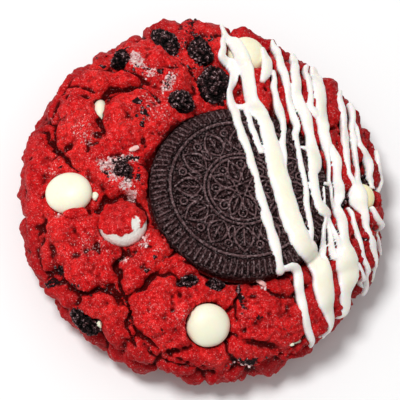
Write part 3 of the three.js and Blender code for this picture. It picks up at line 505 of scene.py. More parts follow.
def crumb_relief(points):
    """Crags, cracks, grit and pits of the baked crumb, from coarse to fine."""
    relief = np.zeros(len(points))
    for size, rise, crown, depth, width, patch, low, high, seed, patch_seed in CRAGS:
        near, far = grains(points, size, seed)
        crack = 1 - smoothstep(far - near, 0, width)
        fade = smoothstep(noise(points, patch, patch_seed), low, high)
        relief += (rise * (crown - near ** 2) - depth * crack) * fade
    for size, rise, seed in GRIT:
        relief += rise * noise(points, size, seed)
    return relief - PITS["depth"] * smoothstep(noise(points, PITS["size"], 42), PITS["from"], PITS["to"])


def dough_height(q, points):
    """Height of the dough over the smooth cookie at plan places, with all its relief."""
    warp = np.zeros((len(q), 2))
    for size, reach in WARPS:
        warp += reach * np.stack([noise(points, size, 5), noise(points, size, 6)], 1)
    bent = points.copy()
    bent[:, :2] += warp
    height = lump_relief(bent) - np.maximum(crevice_cut(q + warp), crease_cut(bent)) + crumb_relief(points)
    for name, (at, half, turn, hollow, follow, groove) in SEATS.items():
        if name == HIDDEN_CHIP:
            continue
        reach = ellipse_reach(q + follow * warp, at, hollow[:2], turn)
        floor = BASES[name] - hollow[2] * bowl(reach)
        height = np.where(reach < 1, np.minimum(height, floor), height)
        height -= groove * np.exp(-(((reach - 1.05) * half[0] / GROOVE_WIDTH) ** 2))
    return height


def stand_out(points, normals, height):
    """Points pushed out along their normals; at the foot they keep their height above the table."""
    push = normals * height[:, None]
    push[:, 2] *= smoothstep(points[:, 2], 0, BASE_ROUNDING)
    return points + push


# ---------------------------------------------------------------- meshes


def make_mesh(name, points, quads, tris=()):
    """A new piece from points in millimetres."""
    mesh = bpy.data.meshes.new(name)
    quads = np.asarray(quads, np.int32).reshape(-1, 4)
    tris = np.asarray(tris, np.int32).reshape(-1, 3)
    corners = np.concatenate([quads.ravel(), tris.ravel()])
    starts = np.concatenate([np.arange(len(quads)) * 4, len(quads) * 4 + np.arange(len(tris)) * 3])
    mesh.vertices.add(len(points))
    mesh.vertices.foreach_set("co", (np.asarray(points) * MM).astype(np.float32).ravel())
    mesh.loops.add(len(corners))
    mesh.loops.foreach_set("vertex_index", corners)
    mesh.polygons.add(len(starts))
    mesh.polygons.foreach_set("loop_start", starts.astype(np.int32))
    mesh.polygons.foreach_set("use_smooth", np.ones(len(starts), bool))
    mesh.update(calc_edges=True)
    piece = bpy.data.objects.new(name, mesh)
    bpy.context.scene.collection.objects.link(piece)
    return piece


def paint(piece, name, values):
    """Keeps a number for each vertex of a piece, for its material to read."""
    attribute = piece.data.attributes.new(name, "FLOAT", "POINT")
    attribute.data.foreach_set("value", np.asarray(values, np.float32))


def ring_quads(rows, columns):
    """Faces between rings of equal count that follow each other, one ring after the other."""
    k, i = np.meshgrid(np.arange(rows - 1), np.arange(columns), indexing="ij")
    j = (i + 1) % columns
    return np.stack([k * columns + i, (k + 1) * columns + i, (k + 1) * columns + j, k * columns + j], -1)


def fan(pole, start, columns, outward):
    """Triangles from a pole to the ring that begins at start."""
    i = np.arange(columns)
    a, b = start + i, start + (i + 1) % columns
    return np.stack([np.full(columns, pole), a, b] if outward else [np.full(columns, pole), b, a], -1)


def make_rings(name, rings, columns, poles):
    """A closed piece from rings of equal count, with a pole before the first and one past the last."""
    rows = len(rings) // columns
    first = fan(len(rings), 0, columns, True)
    last = fan(len(rings) + 1, (rows - 1) * columns, columns, False)
    return make_mesh(name, np.vstack([rings, *poles]), ring_quads(rows, columns), np.vstack([first, last]))


def blur_rings(values, passes):
    """Smooths a table of rings, which is closed along its columns."""
    out = values.copy()
    for _ in range(passes):
        out = (np.roll(out, 1, 1) + 2 * out + np.roll(out, -1, 1)) / 4
        above, below = np.vstack([out[:1], out[:-1]]), np.vstack([out[1:], out[-1:]])
        out = (above + 2 * out + below) / 4
    return out


# ---------------------------------------------------------------- the biscuit's place

lean_axis = Vector((-math.sin(BISCUIT_LEAN_TOWARD), math.cos(BISCUIT_LEAN_TOWARD), 0))
BISCUIT_TURN = np.array(Matrix.Rotation(BISCUIT_LEAN, 3, lean_axis))
BISCUIT_UP = BISCUIT_TURN[:, 2]


def biscuit_points(x, y, z):
    """Points given in the biscuit's own frame, its face being z = 0."""
    return np.stack([x, y, z], -1) @ BISCUIT_TURN.T + BISCUIT_CENTRE


def over_biscuit(q):
    """How far plan places are from the biscuit's centre."""
    return np.hypot(q[:, 0] - BISCUIT_CENTRE[0], q[:, 1] - BISCUIT_CENTRE[1])


# ---------------------------------------------------------------- dough

COLUMNS = 720
DOUGH_RINGS = 118
WALL_RINGS = 4
# Painted shade in the dough's hollows, at three scales: blur passes, the depth that counts in full, and
# limits.
HOLLOW_SCALES = ((10, 0.8, -0.6, 1.0), (90, 3.2, -0.3, 0.5), (40, 1.6, -0.4, 0.6))


def smear(q, points, rows):
    """How strongly the smears in rows cover plan places, with ragged edges."""
    ragged = 0.5 * noise(points, 1.3, 61) + 0.4 * noise(points, 0.5, 62)
    total = np.zeros(len(q))
    for x, y, half_x, half_y, turn, strength in rows:
        reach = ellipse_reach(q, (x, y), (half_x, half_y), turn)
        total = np.maximum(total, strength * smoothstep(1.3 - reach + ragged, 0, 0.9))
    return total


def make_dough():
    """Rings round the biscuit's hollow, from its edge out over the shoulder and down to the foot."""
    angles = np.arange(COLUMNS) * 2 * math.pi / COLUMNS
    unit = np.stack([np.cos(angles), np.sin(angles)], -1)
    centre = BISCUIT_CENTRE[:2]
    hollow = BISCUIT_RADIUS + GAP
    toward = unit @ centre
    foot = -toward + np.sqrt(toward ** 2 - centre @ centre + FOOT_REACH ** 2)
    share = np.linspace(0, 1, DOUGH_RINGS)[:, None]
    reach = hollow + share * (foot - hollow)
    q = (centre + reach[..., None] * unit).reshape(-1, 2)
    points, normals = on_dome(q[:, 0], q[:, 1])
    height = dough_height(q, points)
    height -= EDGE_DIP * np.exp(-(((reach - hollow) / EDGE_DIP_WIDTH) ** 2)).ravel()
    table = height.reshape(DOUGH_RINGS, COLUMNS)
    # deep: how far each place lies below its blurred surroundings, painted darker as shade; the biscuit's
    # hollow is painted fully dark.
    deep = sum(np.clip((blur_rings(table, passes) - table) / span, low, high)
               for passes, span, low, high in HOLLOW_SCALES)
    shaded = smoothstep(q[:, 0], *SHADED["across"]) * smoothstep(q[:, 1], *SHADED["along"])
    surface = stand_out(points, normals, height)

    floor_z = -BISCUIT_THICKNESS - GAP
    x, y = unit.T * hollow
    floor_edge = biscuit_points(x, y, np.full(COLUMNS, floor_z))
    top_edge = surface[:COLUMNS]
    wall = [floor_edge + (top_edge - floor_edge) * k / WALL_RINGS for k in range(WALL_RINGS)]
    hollow_floor = biscuit_points(0.5 * x, 0.5 * y, np.full(COLUMNS, floor_z))
    base = surface[-COLUMNS:] * np.array([0.5, 0.5, 0])
    rings = np.vstack([hollow_floor, *wall, surface, base])
    piece = make_rings("dough_crust", rings, COLUMNS, (biscuit_points(0, 0, floor_z), (0, 0, 0)))

    lead = (WALL_RINGS + 1) * COLUMNS
    tail = COLUMNS + 2

    def full(values, inside, under):
        return np.concatenate([np.full(lead, inside), values, np.full(tail, under)])

    paint(piece, "deep", full(deep.ravel(), 1.0, 0.0))
    paint(piece, "shaded", full(shaded, 0.0, 0.0))
    # side: how far the dough slopes away from up, which the material paints darker as shade.
    paint(piece, "side", full(1 - normals[:, 2], 0.0, 1.0))
    paint(piece, "pale", full(smear(q, points, PALE_SMEARS), 0.0, 0.0))
    paint(piece, "dark", full(smear(q, points, DARK_SMEARS), 0.0, 0.0))
    return piece


# ---------------------------------------------------------------- embossed biscuit

BISCUIT_RINGS = 104


def line(distance, half):
    """A raised line's height at a distance from its middle."""
    return np.exp(-((distance / half) ** 2) * 1.4)


def petal(u, v, start, end, width, half, veins):
    """A pointed petal's raised outline, its midrib and its veins. u runs outward and v across."""
    share = np.clip((u - start) / (end - start), 0, 1)
    side = width * np.sin(math.pi * share ** 0.85) ** 0.9
    within = (u > start) & (u < end)
    outline = np.where(within, line(np.abs(v) - side, half), 0)
    tips = np.maximum(line(np.hypot(u - start, v), half), line(np.hypot(u - end, v), half))
    inner = np.abs(v) < side - 2.2 * half
    rib = np.where(within & (share < 0.78), line(v, 0.8 * half), 0)
    phase = (u - 1.1 * np.abs(v)) / veins
    vein = 0.75 * line((phase - np.round(phase)) * veins, 0.75 * half)
    return np.maximum.reduce([outline, tips, np.where(inner & within, np.maximum(rib, vein), 0)])


def ringed_dot(u, v, at, dot, ring, half):
    """A raised dot with a ring round it."""
    away = np.hypot(u - at, v)
    return np.maximum(line(away, dot), line(away - ring, half))


def fold(r, angle, count, shift=0.0):
    """How far out and how far to the side places are along the nearest of count equal directions."""
    step = 2 * math.pi / count
    turned = angle / step - shift
    delta = (turned - np.round(turned)) * step
    return r * np.cos(delta), r * np.sin(delta)


def biscuit_relief(r, angle, points):
    """Height of the biscuit's face over its plane, and how far each place is raised."""
    past = np.clip((r - EMBOSSED_RADIUS) / (BISCUIT_RADIUS - EMBOSSED_RADIUS), 0, 1)
    wave = np.tanh(2.0 * np.cos(FLUTE_COUNT * angle)) / math.tanh(2.0)
    band = smoothstep(past, 0.04, 0.22) * (1 - smoothstep(past, 0.86, 1.0))
    rim = FLUTE_HEIGHT * 1.15 * wave * band - RIM_DROP * past ** 1.6 + 0.15 * (1 - band) * (past < 0.3)

    between = fold(r, angle, LEAF_COUNT, 0.5)
    u, v = fold(r, angle, DOT_COUNT, 0.5)
    raised = np.maximum.reduce([
        *(line(r - radius, half) for radius, half in EMBOSSED_RINGS),
        petal(*fold(r, angle, LEAF_COUNT), **LEAF),
        petal(*between, **DART),
        ringed_dot(*between, **BEAD),
        petal(*fold(r, angle, PETAL_COUNT, 0.5), **PETAL),
        ringed_dot(*fold(r, angle, PETAL_COUNT), **SEED),
        ringed_dot(r, 0, **BUTTON),
        line(np.hypot(u - DOT_REACH, v), DOT_RADIUS),
    ])
    face = EMBOSSING * (np.clip(raised * 1.15, 0, 1) - 1) * (1 - smoothstep(past, 0, 0.08))
    crumb = 0.15 * noise(points, 0.9, 71) + 0.10 * noise(points, 0.5, 72) + 0.06 * noise(points, 3.0, 73)
    return rim + face + crumb, np.maximum(raised * (past < 0.05), 0.8 * band * np.clip(wave, 0, 1))


def make_biscuit():
    """Rings from the middle of the face out to the rim, down the side and in under it."""
    radii = BISCUIT_RADIUS * np.linspace(0, 1, BISCUIT_RINGS + 1)[1:]
    angles = np.arange(COLUMNS) * 2 * math.pi / COLUMNS
    r, angle = (grid.ravel() for grid in np.meshgrid(radii, angles, indexing="ij"))
    x, y = r * np.cos(angle), r * np.sin(angle)
    flat = np.stack([x, y, np.zeros_like(x)], -1)
    z, raised = biscuit_relief(r, angle, flat)
    top = biscuit_points(x, y, z)
    bottom_z = -BISCUIT_THICKNESS
    edge_z = z[-COLUMNS:]
    sides = []
    for share, inset in ((0.08, 0.0), (0.35, 0.12), (0.7, 0.1), (1.0, 0.4)):
        across = (BISCUIT_RADIUS - inset) / BISCUIT_RADIUS
        rough = 1 + 0.004 * noise(flat[-COLUMNS:] + 9 * share, 0.8, 74)
        sides.append(biscuit_points(x[-COLUMNS:] * across * rough, y[-COLUMNS:] * across * rough,
                                    edge_z + (bottom_z - edge_z) * share))
    under = biscuit_points(0.5 * x[-COLUMNS:], 0.5 * y[-COLUMNS:], np.full(COLUMNS, bottom_z))
    rings = np.vstack([top, *sides, under])
    poles = biscuit_points(0, 0, float(z[0])), biscuit_points(0, 0, bottom_z)
    piece = make_rings("biscuit_embossed", rings, COLUMNS, poles)
    rest = len(rings) + len(poles) - len(raised)
    paint(piece, "raised", np.concatenate([np.clip(raised, 0, 1), np.zeros(rest)]))
    return piece


# ---------------------------------------------------------------- chips and chunks

CHIP_COLUMNS = 192
CHIP_ROWS = 72
CHIP_FULLNESS = 0.88
CHIP_UNEVENNESS = 0.012
CHUNK_DETAIL = 5
CHUNK_FACETS = 9
CHUNK_GRIT = 0.36


def lie_on_dough(at, out, turn=0.0):
    """Centre and axes of something that lies on the dough at a plan place."""
    point, normal = on_dome(np.array([at[0]], float), np.array([at[1]], float))
    up = Vector(normal[0])
    tip = Vector((0, 0, 1)).rotation_difference(up).to_matrix()
    turned = tip @ Matrix.Rotation(math.radians(turn), 3, "Z")
    return point[0] + normal[0] * out, np.array(turned)


def coat_share(body):
    """How far the smeared chip is coated with red crumb: all but a crescent from its foot up its right."""
    x, y, _ = body.T
    ragged = 0.5 * noise(body, 1.4, 85) + 0.3 * noise(body, 0.6, 86)
    crescent = 1 - smoothstep(np.hypot((x + 0.6) / 1.1, y - 2.6) + ragged, 5.2, 6.0)
    streak = smoothstep(np.hypot((x - 3.0) / 1.1, (y + 0.9) / 2.8) + 0.7 * ragged, 0.4, 1.3)
    return np.minimum(crescent, 0.2 + 0.8 * streak)


def make_chip(name):
    """A smooth domed drop of white chocolate."""
    at, half, _ = CHIPS[name]
    seed = list(CHIPS).index(name)
    down = np.linspace(0, math.pi, CHIP_ROWS + 2)[1:-1]
    around = np.arange(CHIP_COLUMNS) * 2 * math.pi / CHIP_COLUMNS
    polar, angle = (grid.ravel() for grid in np.meshgrid(down, around, indexing="ij"))
    across = np.sin(polar) ** CHIP_FULLNESS
    unit = np.stack([across * np.cos(angle), across * np.sin(angle), np.cos(polar)], -1)
    unit *= (1 + CHIP_UNEVENNESS * noise(unit, 0.55, 80 + seed))[:, None]
    unit = np.vstack([unit, [[0, 0, 1], [0, 0, -1]]])
    body = unit * np.array(half)
    centre, axes = lie_on_dough(at, BASES[name])
    coat = coat_share(body) if name == COATED_CHIP else np.zeros(len(body))
    crust = 0.35 + 0.22 * noise(body, 1.6, 33) + 0.16 * noise(body, 0.8, 34)
    body += unit * (coat * crust)[:, None]
    points = body @ axes.T + centre
    piece = make_rings(name + "_drop", points[:-2], CHIP_COLUMNS, points[-2:])
    paint(piece, "coat", coat)
    return piece


def ball(detail):
    """Points and triangles of a unit ball."""
    shape = bmesh.new()
    bmesh.ops.create_icosphere(shape, subdivisions=detail, radius=1)
    points = np.array([v.co[:] for v in shape.verts])
    tris = np.array([[v.index for v in f.verts] for f in shape.faces])
    shape.free()
    return points, tris


def broken_lump(half, seed, detail, facets, grit):
    """A broken piece of biscuit, with flat breaks and a gritty skin: points, triangles and their crown."""
    points, tris = ball(detail)
    body = points * (1.12 + 0.14 * noise(points + 7.0 * seed, 0.8, seed + 90))[:, None]
    for k in range(facets):
        turn = 2 * math.pi * (k + 0.7 * seeded(seed + 3 * k)) / facets * 2.4
        lift = 1.7 * seeded(seed + 5 * k + 1) - 0.7
        flat = math.sqrt(max(0.0, 1 - lift ** 2))
        normal = np.array([flat * math.cos(turn), flat * math.sin(turn), lift])
        over = np.maximum(body @ normal - (0.72 + 0.22 * seeded(seed + 7 * k + 2)), 0)
        body -= 0.92 * over[:, None] * normal
    body *= np.array(half)
    near, far = grains(body + 7.0 * seed, 1.0, seed + 91)
    fine, _ = grains(body + 7.0 * seed, 0.5, seed + 95)
    pit = smoothstep(noise(body + 3.0 * seed, 1.3, seed + 99), 0.3, 0.7)
    crack = 1 - smoothstep(far - near, 0, 0.25)
    push = grit * (1.8 * (0.35 - near ** 2) - 1.1 * crack + 0.8 * (0.35 - fine ** 2) - 1.6 * pit)
    # crown: high on the grains' tops and out of the pits; the material paints shade where it is low and
    # sparkle where it is high.
    crown = smoothstep(0.72 - near, 0, 0.45) * (1 - pit)
    return body + points * push[:, None], tris, crown


def make_chunk(name):
    """A chunk of dark biscuit, reddened where it is low and towards its outside."""
    at, half, turn, _ = CHUNKS[name]
    seed = list(CHUNKS).index(name)
    body, tris, crown = broken_lump(half, seed, CHUNK_DETAIL, CHUNK_FACETS, CHUNK_GRIT)
    centre, axes = lie_on_dough(at, BASES[name], turn)
    piece = make_mesh(name + "_crumb", body @ axes.T + centre, (), tris)
    reach = np.linalg.norm(body / np.array(half), axis=1)
    low = 1 - smoothstep(body[:, 2] / half[2], -0.1, 0.9)
    paint(piece, "red", np.clip(0.35 * low + 0.5 * RED_CHUNKS.get(name, 0.0) * reach, 0, 1))
    paint(piece, "crown", crown)
    return piece


def surface_at(q):
    """Points and outward normals on the dough with all its relief, at plan places."""
    points, normals = on_dome(q[:, 0], q[:, 1])
    return points + normals * dough_height(q, points)[:, None], normals


def make_crumbs(name, rows, density, seed):
    """Loose crumbs over the patches in rows: density is how many a square millimetre."""
    random = np.random.default_rng(seed)
    places = []
    for x, y, half_x, half_y, turn, strength in rows:
        if strength < LEAST_CRUMBLED:
            continue
        count = round(density * strength * math.pi * half_x * half_y)
        away = random.normal(0, CRUMB_SPREAD, (count, 2)) * (half_x, half_y)
        c, s = math.cos(math.radians(turn)), math.sin(math.radians(turn))
        places.append((x, y) + away @ np.array([[c, s], [-s, c]]))
    q = np.vstack(places)
    q = q[over_biscuit(q) > BISCUIT_RADIUS + 1.0]
    centres, normals = surface_at(q)
    unit, tris = ball(2)
    radii = random.uniform(*CRUMB_RADII, len(q))
    bodies, faces = [], []
    for k, (centre, normal, radius) in enumerate(zip(centres, normals, radii)):
        stretch = random.uniform(*CRUMB_STRETCH, 3)
        body = unit * (1 + 0.35 * noise(unit + 3.1 * k, 0.8, seed))[:, None] * stretch * radius
        bodies.append(body + centre + 0.25 * radius * normal)
        faces.append(tris + k * len(unit))
    piece = make_mesh(name, np.vstack(bodies), (), np.vstack(faces))
    paint(piece, "red", np.zeros(len(q) * len(unit)))
    # crown: highest on top of each crumb, so the material paints sparkle on top and shade underneath.
    paint(piece, "crown", np.tile(smoothstep(unit[:, 2], -0.2, 0.6), len(q)))
    return piece


def make_bit(name, at, half, turn, lift):
    """A loose bit that lies on the dough."""
    body, tris, _ = broken_lump(half, len(name), 4, 5, 0.05)
    _, axes = lie_on_dough(at, 0.0, turn)
    tops, normals = surface_at(np.array([at], float))
    return make_mesh(name, body @ axes.T + tops[0] + lift * normals[0], (), tris)


# ---------------------------------------------------------------- drizzle

DRIZZLE_CELL = 0.24
DRIZZLE_SINK = 1.1
DRIZZLE_LIFT = -0.02
DRIZZLE_RISE = (0.34, 0.28)
DRIZZLE_JOINING = 13.0
DRIZZLE_ACROSS = (2.0, 49.5)
DRIZZLE_ALONG = (-41.0, 49.5)
BRIDGING = 3
SAGGING = 14


def coarse_top(q):
    """Height over the smooth cookie of whatever the drizzle lands on: dough, biscuit or chip."""
    points, normals = on_dome(q[:, 0], q[:, 1])
    height = lump_relief(points) - crevice_cut(q)
    near, _ = grains(points, 4.4, 11)
    height += 0.6 * (0.45 - near ** 2)
    for name, (at, half, turn, *_) in SEATS.items():
        reach = ellipse_reach(q, at, half[:2], turn)
        height = np.where(reach < 1, np.maximum(height, BASES[name] + half[2] * bowl(reach)), height)
    r = over_biscuit(q)
    past = np.clip((r - EMBOSSED_RADIUS) / (BISCUIT_RADIUS - EMBOSSED_RADIUS), 0, 1)
    drop = RIM_DROP * past ** 1.6 + 0.1
    level = (-drop - (points - BISCUIT_CENTRE) @ BISCUIT_UP) / (normals @ BISCUIT_UP)
    return np.where(r < BISCUIT_RADIUS + GAP, level, height)


def drizzle_field(q):
    """Where the drizzle lies: above 0 inside it, and its thickness in the middle."""
    weights = np.zeros(len(q))
    thick = np.zeros(len(q))
    for places in DRIZZLE:
        path = smooth_path(places, 1.2)
        best = np.full(len(q), -9.0)
        height = np.zeros(len(q))
        near = np.abs(q - path[:, :2].mean(0)).max(1) < 4 + np.ptp(path[:, :2], axis=0).max() * 0.6
        some = q[near]
        field, tall = np.full(len(some), -9.0), np.zeros(len(some))
        for a, b in zip(path[:-1], path[1:]):
            d, f = from_segment(some, a[:2], b[:2])
            half = 0.5 * (a[2] + f * (b[2] - a[2]))
            inside = 1 - (d / half) ** 2
            better = inside > field
            field = np.where(better, inside, field)
            tall = np.where(better, DRIZZLE_RISE[0] + DRIZZLE_RISE[1] * half, tall)
        best[near], height[near] = field, tall
        weight = np.exp(DRIZZLE_JOINING * np.clip(best, -3, 1))
        weights += weight
        thick += weight * height
    return np.log(weights) / DRIZZLE_JOINING, thick / np.maximum(weights, 1e-12)


def make_drizzle():
    """A skin over a fine grid in plan, closed by a second skin that is sunk in what carries it."""
    xs = np.arange(*DRIZZLE_ACROSS, DRIZZLE_CELL)
    ys = np.arange(*DRIZZLE_ALONG, DRIZZLE_CELL)
    columns, rows = len(xs), len(ys)
    q = np.stack(np.meshgrid(xs, ys), -1).reshape(-1, 2)
    field, thick = drizzle_field(q)
    under = coarse_top(q).reshape(rows, columns)
    for axis in (0, 1) * BRIDGING:
        under = np.maximum.reduce([np.roll(under, 1, axis), under, np.roll(under, -1, axis)])
    for axis in (0, 1) * SAGGING:
        under = (np.roll(under, 1, axis) + 2 * under + np.roll(under, -1, axis)) / 4
    under = under.ravel()
    field = field + 0.16 * noise(flat_points(q), 1.6, 51) * (field < 0.8)
    inside = (field > 0).reshape(rows, columns)
    cells = inside[:-1, :-1] | inside[1:, :-1] | inside[:-1, 1:] | inside[1:, 1:]
    j, i = np.nonzero(cells)
    corner = j * columns + i
    quads = np.stack([corner, corner + 1, corner + columns + 1, corner + columns], -1)
    used = np.unique(quads)
    number = np.full(len(q), -1)
    number[used] = np.arange(len(used))
    quads = number[quads]

    slope_y, slope_x = np.gradient(field.reshape(rows, columns), DRIZZLE_CELL)
    slope = np.stack([slope_x.ravel(), slope_y.ravel()], -1)
    outside = (field <= 0)[used]
    steep = np.maximum((slope[used] ** 2).sum(1), 1e-3)
    shift = -field[used, None] * slope[used] / steep[:, None]
    reach = np.linalg.norm(shift, axis=1)
    shift *= np.minimum(1, 0.95 * DRIZZLE_CELL / np.maximum(reach, 1e-9))[:, None]
    place = q[used] + np.where(outside[:, None], shift, 0)

    rise = thick[used] * np.sqrt(np.clip(field[used], 0, 1))
    points, normals = on_dome(place[:, 0], place[:, 1])
    top = points + normals * (under[used] + rise + DRIZZLE_LIFT)[:, None]
    bottom = points + normals * (under[used] - DRIZZLE_SINK)[:, None]
    thin = 1 - smoothstep(rise, 0.35, 1.0)
    n = len(used)
    edges = np.vstack([quads[:, [k, (k + 1) % 4]] for k in range(4)])
    keys = dict.fromkeys(map(tuple, edges.tolist()))
    rim = np.array([(a, b) for a, b in keys if (b, a) not in keys])
    walls = np.stack([rim[:, 1], rim[:, 0], rim[:, 0] + n, rim[:, 1] + n], -1)
    piece = make_mesh("drizzle", np.vstack([top, bottom]), np.vstack([quads, quads[:, ::-1] + n, walls]))
    paint(piece, "thin", np.tile(thin, 2))
    return piece


# ---------------------------------------------------------------- materials


class Shader:
    """A material's node tree, with short calls for the nodes used here. Where a call takes a value, it
    is another node's output or a constant."""

    def __init__(self, name):
        self.material = bpy.data.materials.new(name)
        self.material.use_nodes = True
        self.nodes = self.material.node_tree.nodes
        self.principled = self.nodes["Principled BSDF"]
        self.where = self.nodes.new("ShaderNodeTexCoord").outputs["Object"]

    def put(self, value, socket):
        if isinstance(value, bpy.types.NodeSocket):
            self.material.node_tree.links.new(value, socket)
        elif hasattr(value, "__len__"):
            socket.default_value = (*value, 1)
        else:
            socket.default_value = value

    def node(self, kind, values, output=0, **settings):
        """A new node's output, after its settings and the values of its inputs."""
        node = self.nodes.new("ShaderNode" + kind)
        for name, setting in settings.items():
            setattr(node, name, setting)
        for key, value in values.items():
            self.put(value, node.inputs[key])
        return node.outputs[output]

    def noise(self, size, detail=3.0, roughness=0.6):
        """Noise with features of the given size in millimetres."""
        values = {"Scale": 1 / (size * MM), "Detail": detail, "Roughness": roughness, "Vector": self.where}
        return self.node("TexNoise", values, "Fac")

    def attribute(self, name):
        """A number that paint keeps."""
        return self.node("Attribute", {}, "Fac", attribute_name=name)

    def ramp(self, value, *stops):
        """Colour or grey by value: each stop is (position, colour)."""
        output = self.node("ValToRGB", {"Fac": value}, "Color")
        elements = output.node.color_ramp.elements
        while len(elements) < len(stops):
            elements.new(0.5)
        for element, (position, colour) in zip(elements, stops):
            element.position = position
            element.color = (*colour, 1) if hasattr(colour, "__len__") else (colour, colour, colour, 1)
        return output

    def mix(self, share, first, second, blend="MIX"):
        """Mixes two colours."""
        return self.node("Mix", {0: share, 6: first, 7: second}, 2, data_type="RGBA", blend_type=blend)

    def maths(self, operation, first, second):
        return self.node("Math", {0: first, 1: second}, operation=operation)

    def blotches(self, value, size, reach, low, high, detail=3.0):
        """Grey that goes from 0 to 1 as the value does from low to high, with ragged edges."""
        ragged = self.maths("MULTIPLY", self.maths("SUBTRACT", self.noise(size, detail), 0.5), reach)
        return self.ramp(self.maths("ADD", self.attribute(value), ragged), (low, 0.0), (high, 1.0))

    def bump(self, height, distance, strength=0.9, after=None):
        """Bump whose heights span the given distance in millimetres, on top of another bump or none."""
        values = {"Strength": strength, "Distance": distance * MM, "Height": height}
        if after:
            values["Normal"] = after
        return self.node("Bump", values, "Normal")

    def finish(self, colour, **settings):
        """Sets the surface: each setting is one of the shader's inputs, in lower case."""
        self.put(colour, self.principled.inputs["Base Color"])
        for name, value in settings.items():
            self.put(value, self.principled.inputs[name.replace("_", " ").title().replace("Ior", "IOR")])
        return self.material


def red_crumb(sh):
    """Colour and normal of the red crumb: its own tone, with painted shade between its grains and painted
    pink highlights on some.
    """
    grain = sh.noise(0.95, 4.0, 0.8)
    fine = sh.noise(0.3, 2.0)
    patch = sh.noise(9.0, 4.0)
    red = sh.ramp(patch, (0.32, (0.62, 0.006, 0.011)), (0.5, (0.88, 0.014, 0.015)),
                  (0.68, (1.0, 0.036, 0.028)))
    # Painted shade: the crumb's own tone runs darker where the grain bump is low, between the grains.
    grain_tone_and_shade = sh.ramp(grain, (0.36, (0.16, 0.0005, 0.001)), (0.48, (0.80, 0.008, 0.010)),
                   (0.60, (1.0, 0.036, 0.036)))
    clump = sh.ramp(sh.noise(2.6), (0.36, (0.66, 0.56, 0.62)), (0.56, (1.0, 1.0, 1.0)))
    colour = sh.mix(1.0, sh.mix(0.6, red, grain_tone_and_shade), clump, "MULTIPLY")
    raised = sh.ramp(grain, (0.4, 0.8), (0.65, 1.0))
    # Painted pink highlights on the raised grains.
    glint = sh.ramp(sh.maths("MULTIPLY", fine, raised), (0.54, 0.0), (0.64, 1.0))
    colour = sh.mix(sh.maths("MULTIPLY", glint, 0.72), colour, (1.0, 0.38, 0.38))
    return colour, sh.bump(fine, 0.3, after=sh.bump(grain, 0.7))


def dough_material():
    sh = Shader("baked red dough")
    colour, normal = red_crumb(sh)
    # Painted shade: darker where the dough slopes away from up, on the cookie's sides and foot.
    side = sh.ramp(sh.attribute("side"), (0.12, 0.0), (0.7, 0.65))
    colour = sh.mix(side, colour, (0.34, 0.003, 0.007))
    # Painted shade between the drizzle's lines.
    shaded = sh.ramp(sh.attribute("shaded"), (0.0, 0.0), (1.0, 0.46))
    colour = sh.mix(shaded, colour, (0.26, 0.002, 0.005))
    # Painted shade in the dough's hollows and crevices.
    deep = sh.ramp(sh.attribute("deep"), (0.1, 0.0), (0.55, 0.42), (1.0, 1.0))
    colour = sh.mix(deep, colour, (0.09, 0.0007, 0.001))
    cream = sh.ramp(sh.noise(0.9), (0.35, (0.64, 0.16, 0.18)), (0.60, (0.88, 0.66, 0.63)))
    colour = sh.mix(sh.blotches("pale", 0.45, 3.2, 0.40, 0.85), colour, cream)
    colour = sh.mix(sh.blotches("dark", 0.8, 2.0, 0.45, 0.6), colour, (0.016, 0.006, 0.007))
    return sh.finish(colour, normal=normal, roughness=0.4, specular_ior_level=0.06)


def biscuit_material():
    sh = Shader("dark cocoa biscuit")
    patch = sh.noise(1.0, 4.0, 0.75)
    base = sh.ramp(patch, (0.40, (0.003, 0.0005, 0.0005)), (0.58, (0.050, 0.019, 0.020)))
    height = sh.attribute("raised")
    # Painted shade: dark outlines at the foot of the raised lines, where they shade the face.
    ridge_foot_shade = sh.ramp(height, (0.04, 0.0), (0.14, 1.0), (0.34, 1.0), (0.5, 0.0))
    colour = sh.mix(ridge_foot_shade, base, (0.002, 0.0004, 0.0004))
    # Painted light: the tops of the raised lines and flutes painted lighter, broken into patches.
    raised = sh.ramp(height, (0.4, 0.0), (0.95, 1.0))
    ridge_light_patches = sh.ramp(sh.noise(0.8), (0.40, 0.1), (0.60, 1.0))
    colour = sh.mix(sh.maths("MULTIPLY", raised, ridge_light_patches), colour, (0.20, 0.115, 0.12))
    # Painted glints, more of them on the ridges.
    glint = sh.ramp(sh.noise(0.5, 2.0), (0.55, 0.0), (0.66, 1.0))
    spread = sh.ramp(raised, (0.0, 0.3), (1.0, 0.7))
    colour = sh.mix(sh.maths("MULTIPLY", glint, spread), colour, (0.40, 0.30, 0.305))
    normal = sh.bump(sh.noise(0.3), 0.3)
    return sh.finish(colour, normal=normal, roughness=0.38, specular_ior_level=0.05)


